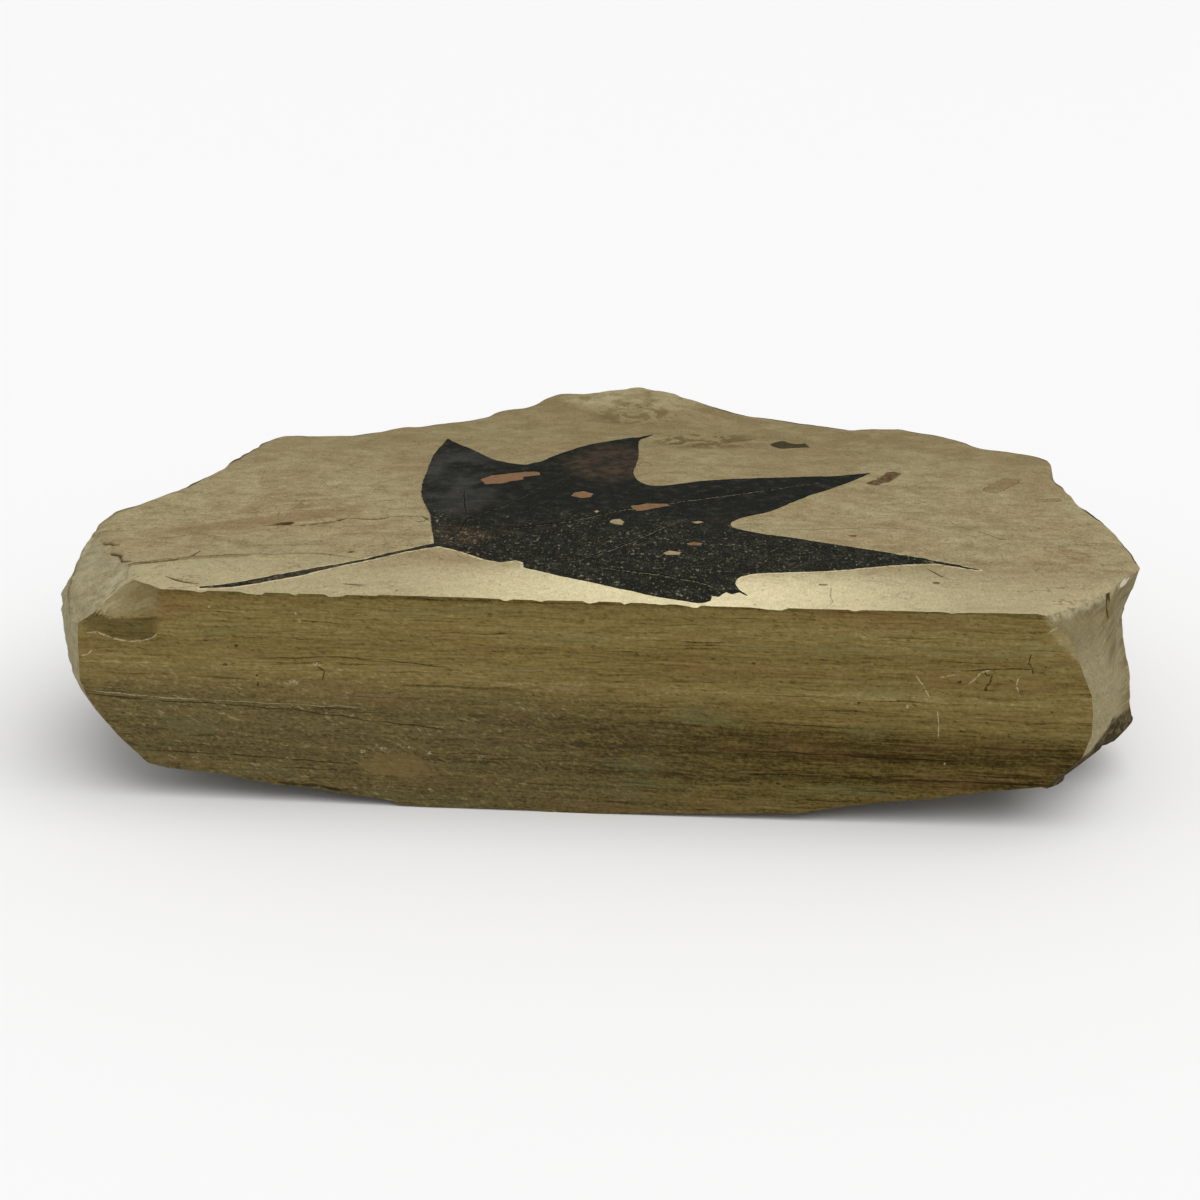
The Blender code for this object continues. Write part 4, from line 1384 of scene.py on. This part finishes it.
def split_face_material():
    """The split face: mottled stone, lighter along the saw cut and darker towards the back with painted
    shade, then stains, holes and cracks darkened with painted shade.
    """
    g = Graph("split_face")
    place = g.drawing()
    x, y, _ = g.parts(place)
    plan = g.plane(x, y)
    slow = g.noise(plan, 48.0, detail=3.0)
    cloud = g.noise(plan, (24.0, 15.0, 1.0), detail=4.0, roughness=0.6, distortion=0.6)
    mottle = g.noise(plan, (10.0, 8.0, 1.0), detail=5.0, roughness=0.62, distortion=0.3)
    blotch = g.noise(plan, (2.6, 3.4, 1.0), detail=3.0, roughness=0.6)
    grain = g.noise(plan, (0.9, 1.8, 1.0), detail=3.0, roughness=0.7)
    streaks = g.noise(plan, (26.0, 7.0, 1.0), detail=4.0, roughness=0.6, distortion=0.4)
    colour = g.mix(g.rise(slow, 0.40, 0.62), STONE_TAN, STONE_WARM)
    colour = g.over(colour, STONE_BROWN, g.rise(cloud, 0.50, 0.72), 0.45)
    colour = g.over(colour, STONE_PALE, g.rise(mottle, 0.45, 0.75), 0.35)
    colour = g.over(colour, STONE_BROWN, g.rise(mottle, 0.50, 0.28), 0.4)
    colour = g.over(colour, STONE_BROWN, g.rise(streaks, 0.52, 0.68), 0.4)
    front = g.rise(g.add(y, g.swing(mottle, 12.0)), 48.0, 16.0)
    middle = g.rise(g.math("ABSOLUTE", g.add(x, -30.0)), 110.0, 20.0)
    colour = g.over(colour, STONE_PALE, front, 0.7)
    colour = g.over(colour, STONE_CREAM, front, middle, 0.8)
    # Painted shade: the split face darkens towards the back, broken up by cloud noise.
    back = g.rise(g.add(y, g.swing(slow, 30.0)), 100.0, 240.0)
    colour = g.over(colour, STONE_BACK_SHADE, back, g.rise(cloud, 0.62, 0.40, 0.35, 0.85))

    def edged(name, softness):
        """A stain's mask: its edge is broken up by noise."""
        torn = g.swing(g.noise(plan, 3.0, detail=4.0, roughness=0.65), 0.14)
        value = g.add(g.attribute(name), torn)
        return g.rise(value, 0.5 - softness, 0.5 + softness)

    def rim_of(name):
        """The outer line of a stain."""
        value = edged(name, 0.12)
        return g.times(g.rise(value, 0.05, 0.4), g.rise(value, 0.95, 0.55))

    inner = g.add(0.72, g.times(g.rise(blotch, 0.45, 0.6), 0.25))
    colour = g.over(colour, STAIN_FAINT, edged("faint", 0.25), 0.5)
    colour = g.over(colour, STAIN_BROWN, rim_of("faint"), 0.5)
    long_patch = g.times(g.spot(plan, *LONG_STAIN), g.rise(mottle, 0.3, 0.6), 0.5)
    colour = g.over(colour, STAIN_FAINT, long_patch)
    torn = g.noise(plan, (12.0, 11.0, 1.0), detail=5.0, roughness=0.65, distortion=1.2)
    scar = g.most(g.spot(plan, *SCAR_STAIN), g.times(g.spot(plan, *HUMP_STAIN), 0.7))
    colour = g.over(colour, STAIN_OLIVE, scar, g.rise(torn, 0.45, 0.58), 0.8)
    colour = g.over(colour, STAIN_OLIVE, scar, g.contours(torn, 0.03), 0.5)
    colour = g.over(colour, STONE_PALE, g.spot(plan, *HUMP_PALE), g.rise(mottle, 0.35, 0.6), 0.5)
    colour = g.over(colour, STAIN_BROWN, edged("brown", 0.1), inner)
    colour = g.over(colour, STAIN_BROWN, rim_of("brown"), 0.5)
    colour = g.over(colour, HOLE_BROWN, edged("brown_hole", 0.1))
    colour = g.over(colour, HOLE_CREAM, edged("cream_hole", 0.1))

    few = g.rise(g.noise(plan, 30.0, detail=2.0), 0.48, 0.62)
    lined = g.rise(g.math("ABSOLUTE", g.add(x, -15.0)), 50.0, 110.0)
    flakes = g.contours(g.noise(plan, (20.0, 14.0, 1.0), detail=4.0, roughness=0.55), 0.016)
    flakes = g.times(flakes, few, lined, g.rise(y, 190.0, 120.0))
    colour = g.over(colour, STAIN_FAINT, flakes, 0.5)
    # Painted shade in the cracks; the fine lines are dark in their own colour.
    colour = g.over(colour, CRACK_SHADE_AND_LINE_DARK, g.rise(g.attribute("line"), 0.15, 0.9), 0.9)
    speck = g.rise(g.noise(plan, 1.8, detail=1.0), 0.70, 0.76)
    colour = g.over(colour, STAIN_BROWN, speck, 0.5)
    beside_leaf = g.times(g.rise(g.attribute("by_leaf"), 0.72, 0.92), g.rise(y, 75.0, 50.0))
    colour = g.over(colour, STONE_CREAM, beside_leaf, 0.55)
    frayed = g.times(g.spot(plan, *FRAYED_TIP), g.rise(mottle, 0.38, 0.6))
    colour = g.over(colour, STONE_CREAM, frayed, 0.7)
    fine = g.add(g.swing(grain, 0.26), g.swing(blotch, 0.16), g.swing(mottle, 0.08))
    calm = g.math("MULTIPLY_ADD", g.most(g.times(front, 0.6), back), -0.4, 1.0)
    texture = g.add(1.0, g.times(fine, calm))
    colour = g.scaled(colour, texture)
    height = g.add(g.times(grain, 0.7), g.times(blotch, 0.7), g.times(mottle, 0.7), g.times(flakes, -0.2))
    return g.finish(colour, height, 0.8, 0.95)


BROKEN_TAN = tone(136, 125, 92)
BROKEN_DARK = tone(108, 94, 61)
BROKEN_PALE = tone(155, 145, 113)
# Pale crumbs of the broken sides, also the painted highlight on the left chip's ridge.
BROKEN_CRUMBS_AND_HIGHLIGHT = tone(186, 177, 144)
# Painted shade under the belly and on down-facing parts.
BROKEN_PAINTED_SHADE = tone(60, 50, 29)
# Painted shade in the right face's crack.
SIDE_CRACK_SHADE = tone(70, 54, 28)
BRUISE_WHITE = tone(214, 208, 184)
# The painted highlight on the left chip's ridge, in plan; the crack, dark with painted shade, and the white
# bruise of the right face at (y, z).
RIDGE_HIGHLIGHT = ((-163.0, 16.0), (15.0, 12.0), 40.0)
SIDE_CRACK_MOUTH = ((25.5, 77.0), (1.2, 3.0))
SIDE_CRACK = (0.6, [(25.5, 78), (23, 74), (20, 70)])
BRUISE = ((40, 77), (5, 2.2))


def broken_face_material():
    """The broken sides: rough beds, and on the two clean fractures fine lines, facets and marks; painted
    shade under the belly, on down-facing parts and in the right face's crack, and a painted highlight on the
    left chip's ridge.
    """
    g = Graph("broken_face")
    place = g.drawing()
    x, y, z = g.parts(place)
    clean = g.attribute("clean")
    wander = g.swing(g.noise(place, 60.0, detail=2.0), 2.5)
    bowl = g.times(g.math("MINIMUM", y, 45.0), -0.22)
    bed = g.add(z, wander, bowl)
    layered = g.vector(g.times(x, 0.05), g.times(y, 0.05), bed)
    beds = g.noise(layered, 5.5, detail=4.0, roughness=0.6)
    laminae = g.noise(layered, 1.0, detail=3.0, roughness=0.65)
    patches = g.noise(place, 20.0, detail=4.0)
    mottle = g.noise(place, 3.5, detail=3.0, roughness=0.6)
    grain = g.noise(place, 1.1, detail=3.0, roughness=0.7)
    rough = g.math("MULTIPLY_ADD", clean, -0.8, 1.0)
    bedded = g.times(g.rise(beds, 0.66, 0.34), g.rise(patches, 0.7, 0.3, 0.45, 0.85), rough)
    colour = g.mix(bedded, BROKEN_TAN, BROKEN_DARK)
    colour = g.over(colour, BROKEN_DARK, g.rise(laminae, 0.46, 0.34), rough, 0.5)
    colour = g.over(colour, BROKEN_CRUMBS_AND_HIGHLIGHT, g.rise(laminae, 0.56, 0.68), rough, 0.35)
    colour = g.over(colour, BROKEN_PALE, g.most(g.rise(patches, 0.48, 0.68), g.times(clean, 0.45)))
    right = g.rise(x, 0.0, 20.0)
    lines = g.contours(g.noise(layered, 3.2, detail=2.0), 0.07)
    shown = g.times(g.rise(z, 44.0, 56.0), g.rise(y, 4.0, 20.0), right, clean)
    colour = g.over(colour, BROKEN_DARK, lines, shown, 0.65)
    upper = g.times(g.rise(z, 60.0, 70.0), right, clean)
    facet = g.times(g.rise(y, 8.0, 20.0), g.rise(y, 45.0, 40.0), g.rise(z, 48.0, 62.0), right, clean)
    colour = g.over(colour, BROKEN_DARK, g.most(upper, facet), 0.5)
    crumbs = g.times(g.attribute("crumbly"), g.rise(mottle, 0.32, 0.56))
    colour = g.over(colour, BROKEN_CRUMBS_AND_HIGHLIGHT, crumbs, 0.5)
    # A painted highlight on the left chip's ridge.
    ridge = g.times(g.spot(g.plane(x, y), *RIDGE_HIGHLIGHT), g.rise(mottle, 0.35, 0.6), clean)
    colour = g.over(colour, BROKEN_CRUMBS_AND_HIGHLIGHT, ridge, 0.4)
    chip = g.times(g.rise(x, -140.0, -165.0), g.rise(mottle, 0.3, 0.65, 0.08, 0.3), clean)
    colour = g.over(colour, BROKEN_CRUMBS_AND_HIGHLIGHT, chip)
    side = g.plane(y, z)
    # Painted shade in the crack of the right face, drawn only in colour.
    crack = g.marks(side, [SIDE_CRACK_MOUTH], [SIDE_CRACK])
    colour = g.over(colour, SIDE_CRACK_SHADE, crack, right)
    white = g.rise(g.add(g.spot(side, *BRUISE), g.swing(mottle, 0.5)), 0.4, 0.8)
    colour = g.over(colour, BRUISE_WHITE, white, right, 0.8)
    # Painted shade under the belly's lower edge, and on parts that face down.
    shade = g.times(g.attribute("undercut"), g.add(0.7, g.times(g.rise(mottle, 0.6, 0.4), 0.3)))
    colour = g.over(colour, BROKEN_PAINTED_SHADE, shade)
    colour = g.over(colour, BROKEN_PAINTED_SHADE, g.down_facing_shade(), 0.6)
    texture = g.add(1.0, g.swing(grain, 0.2), g.swing(mottle, 0.1), g.swing(laminae, 0.05))
    colour = g.scaled(colour, texture)
    height = g.add(g.times(beds, 0.6), g.times(laminae, rough, 0.6), g.times(mottle, 0.8), grain)
    return g.finish(colour, height, 0.6, 0.95)


FILM_BLACK = tone(17, 19, 12)
FILM_BROWN = tone(63, 51, 37)
FILM_GREY = tone(41, 44, 33)
# A painted sheen on the left lobe.
FILM_PAINTED_SHEEN = tone(61, 60, 55)
FILM_SPECK = tone(150, 140, 110)
FILM_SCRAP = tone(67, 58, 32)
FILM_RUST = tone(124, 100, 66)
FILM_FIBRE = tone(84, 68, 50)
FILM_GROOVE = tone(14, 14, 11)
# Parts of the films, as centre and half sizes in plan; the sheen lobe holds a painted sheen.
BROWN_LOBE = ((-6, 172), (22, 34))
BROWN_BASE = ((-58, 68), (20, 14))
PAINTED_SHEEN_LOBE = ((-70, 135), (26, 60))
SCRAP = ((70, 209), (20, 16))
RUSTY_BASE = ((-49, 64), (11, 13))


def carbon_film_material():
    """The black film: brown and grey parts, a painted sheen on the left lobe, dust and specks of stone, a
    rusty base and grooved veins.
    """
    g = Graph("carbon_film_look")
    place = g.drawing()
    x, y, _ = g.parts(place)
    plan = g.plane(x, y)
    cloud = g.noise(plan, 30.0, detail=4.0)
    mottle = g.noise(plan, 5.0, detail=4.0, roughness=0.6)
    grain = g.noise(plan, 1.1, detail=3.0, roughness=0.7)
    colour = g.mix(g.times(g.rise(mottle, 0.48, 0.70), 0.8), FILM_BLACK, FILM_GREY)
    brown = g.most(
        g.spot(plan, *BROWN_LOBE), g.times(g.spot(plan, *BROWN_BASE), 0.7),
        g.times(g.rise(cloud, 0.56, 0.72), 0.5),
    )
    colour = g.over(colour, FILM_BROWN, brown, g.rise(mottle, 0.30, 0.70, 0.25, 1.0))
    # A painted sheen on the left lobe.
    colour = g.over(colour, FILM_PAINTED_SHEEN, g.spot(plan, *PAINTED_SHEEN_LOBE), g.rise(cloud, 0.4, 0.6), 0.8)

    lower = g.rise(g.add(y, g.swing(cloud, 40.0)), 128.0, 75.0)
    dust = g.rise(g.noise(plan, (0.8, 1.7, 1.0), detail=2.0, roughness=0.7), 0.52, 0.78)
    colour = g.over(colour, FILM_SPECK, dust, g.add(0.06, g.times(lower, 0.17)))
    cover = g.math("MULTIPLY_ADD", lower, -0.10, 0.665)
    scratches = g.noise(plan, (1.5, 2.6, 1.0), detail=4.0, roughness=0.8)
    crowd = g.noise(plan, (9.0, 14.0, 1.0), detail=3.0, roughness=0.6)
    specks = g.rise(g.math("SUBTRACT", g.add(scratches, g.swing(crowd, 0.05)), cover), 0.0, 0.12)
    colour = g.over(colour, FILM_SPECK, specks, 0.9)
    colour = g.over(colour, FILM_SCRAP, g.spot(plan, *SCRAP), 0.8)
    fibres = g.noise(plan, (1.4, 5.0, 1.0), detail=3.0)
    rust = g.times(g.spot(plan, *RUSTY_BASE), g.rise(fibres, 0.55, 0.68))
    colour = g.over(colour, FILM_RUST, rust, 0.75)
    fibres = g.noise(plan, (7.0, 2.5, 1.0), detail=3.0)
    stalk = g.times(g.rise(g.add(x, y), -16.0, -28.0), g.rise(fibres, 0.46, 0.6))
    colour = g.over(colour, FILM_FIBRE, stalk, 0.7)
    vein = g.attribute("vein")
    shoulder = g.times(g.rise(vein, 0.05, 0.2), g.rise(vein, 0.5, 0.35))
    shoulder = g.times(shoulder, g.rise(scratches, 0.40, 0.58), g.rise(x, -40.0, 10.0, 0.15, 0.6))
    colour = g.over(colour, FILM_SPECK, shoulder)
    colour = g.over(colour, FILM_GROOVE, g.rise(vein, 0.35, 0.6), 0.85)
    colour = g.scaled(colour, g.add(1.0, g.swing(grain, 0.5), g.swing(mottle, 0.2)))
    height = g.add(mottle, g.times(grain, 0.8))
    return g.finish(colour, height, 0.35, 0.8)


# Stage

def make_floor():
    """A wide white floor at height 0."""
    bpy.ops.mesh.primitive_plane_add(size=FLOOR_SIZE, location=(0.0, 0.0, 0.0))
    floor = bpy.context.object
    floor.name = "floor"
    g = Graph("floor_white")
    g.shader.inputs["Base Color"].default_value = FLOOR_WHITE
    g.shader.inputs["Roughness"].default_value = 0.9
    g.shader.inputs["Specular IOR Level"].default_value = 0.1
    floor.data.materials.append(g.material)


def make_lights():
    """An even white studio, with a broad soft light high on the right."""
    world = bpy.data.worlds.new("studio")
    bpy.context.scene.world = world
    world.use_nodes = True
    world.node_tree.nodes["Background"].inputs["Color"].default_value = (1.0, 1.0, 1.0, 1.0)
    world.node_tree.nodes["Background"].inputs["Strength"].default_value = WORLD_STRENGTH
    broad = bpy.data.lights.new("broad_light", "SUN")
    broad.energy = BROAD_STRENGTH
    broad.angle = math.radians(BROAD_ANGLE)
    placed = bpy.data.objects.new("broad_light", broad)
    placed.rotation_euler = (-Vector(BROAD_FROM)).to_track_quat("-Z", "Y").to_euler()
    bpy.context.scene.collection.objects.link(placed)


def make_camera():
    """The camera of the photograph."""
    lens = bpy.data.cameras.new("camera")
    lens.lens = CAMERA_LENS
    lens.sensor_width = CAMERA_SENSOR
    lens.clip_end = 200.0
    camera = bpy.data.objects.new("camera", lens)
    camera.location = to_frame([CAMERA_PLACE])[0]
    camera.rotation_euler = (math.radians(CAMERA_TILT), 0.0, math.radians(CAMERA_TURN))
    bpy.context.scene.collection.objects.link(camera)
    bpy.context.scene.camera = camera


def main():
    """Builds the stage and the three pieces."""
    bpy.context.scene.view_settings.view_transform = "Standard"
    make_camera()
    make_lights()
    make_floor()
    stone = [sawn_face_material(), split_face_material(), broken_face_material()]
    film = carbon_film_material()
    block = make_block(stone)
    leaf = make_film("leaf_film", leaf_outline(), BROWN_HOLES + CREAM_HOLES, VEINS, film, 11)
    scrap = make_film("scrap_film", curved(SCRAP_OUTLINE, CURVE_STEPS), [], [], film, 81)
    for piece, node, slot in (
        (block, "limestone_block", "limestone"),
        (leaf, "leaf", "carbon_film"),
        (scrap, "leaf_scrap", "carbon_film"),
    ):
        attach(piece, BODY)
        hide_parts(node)


main()
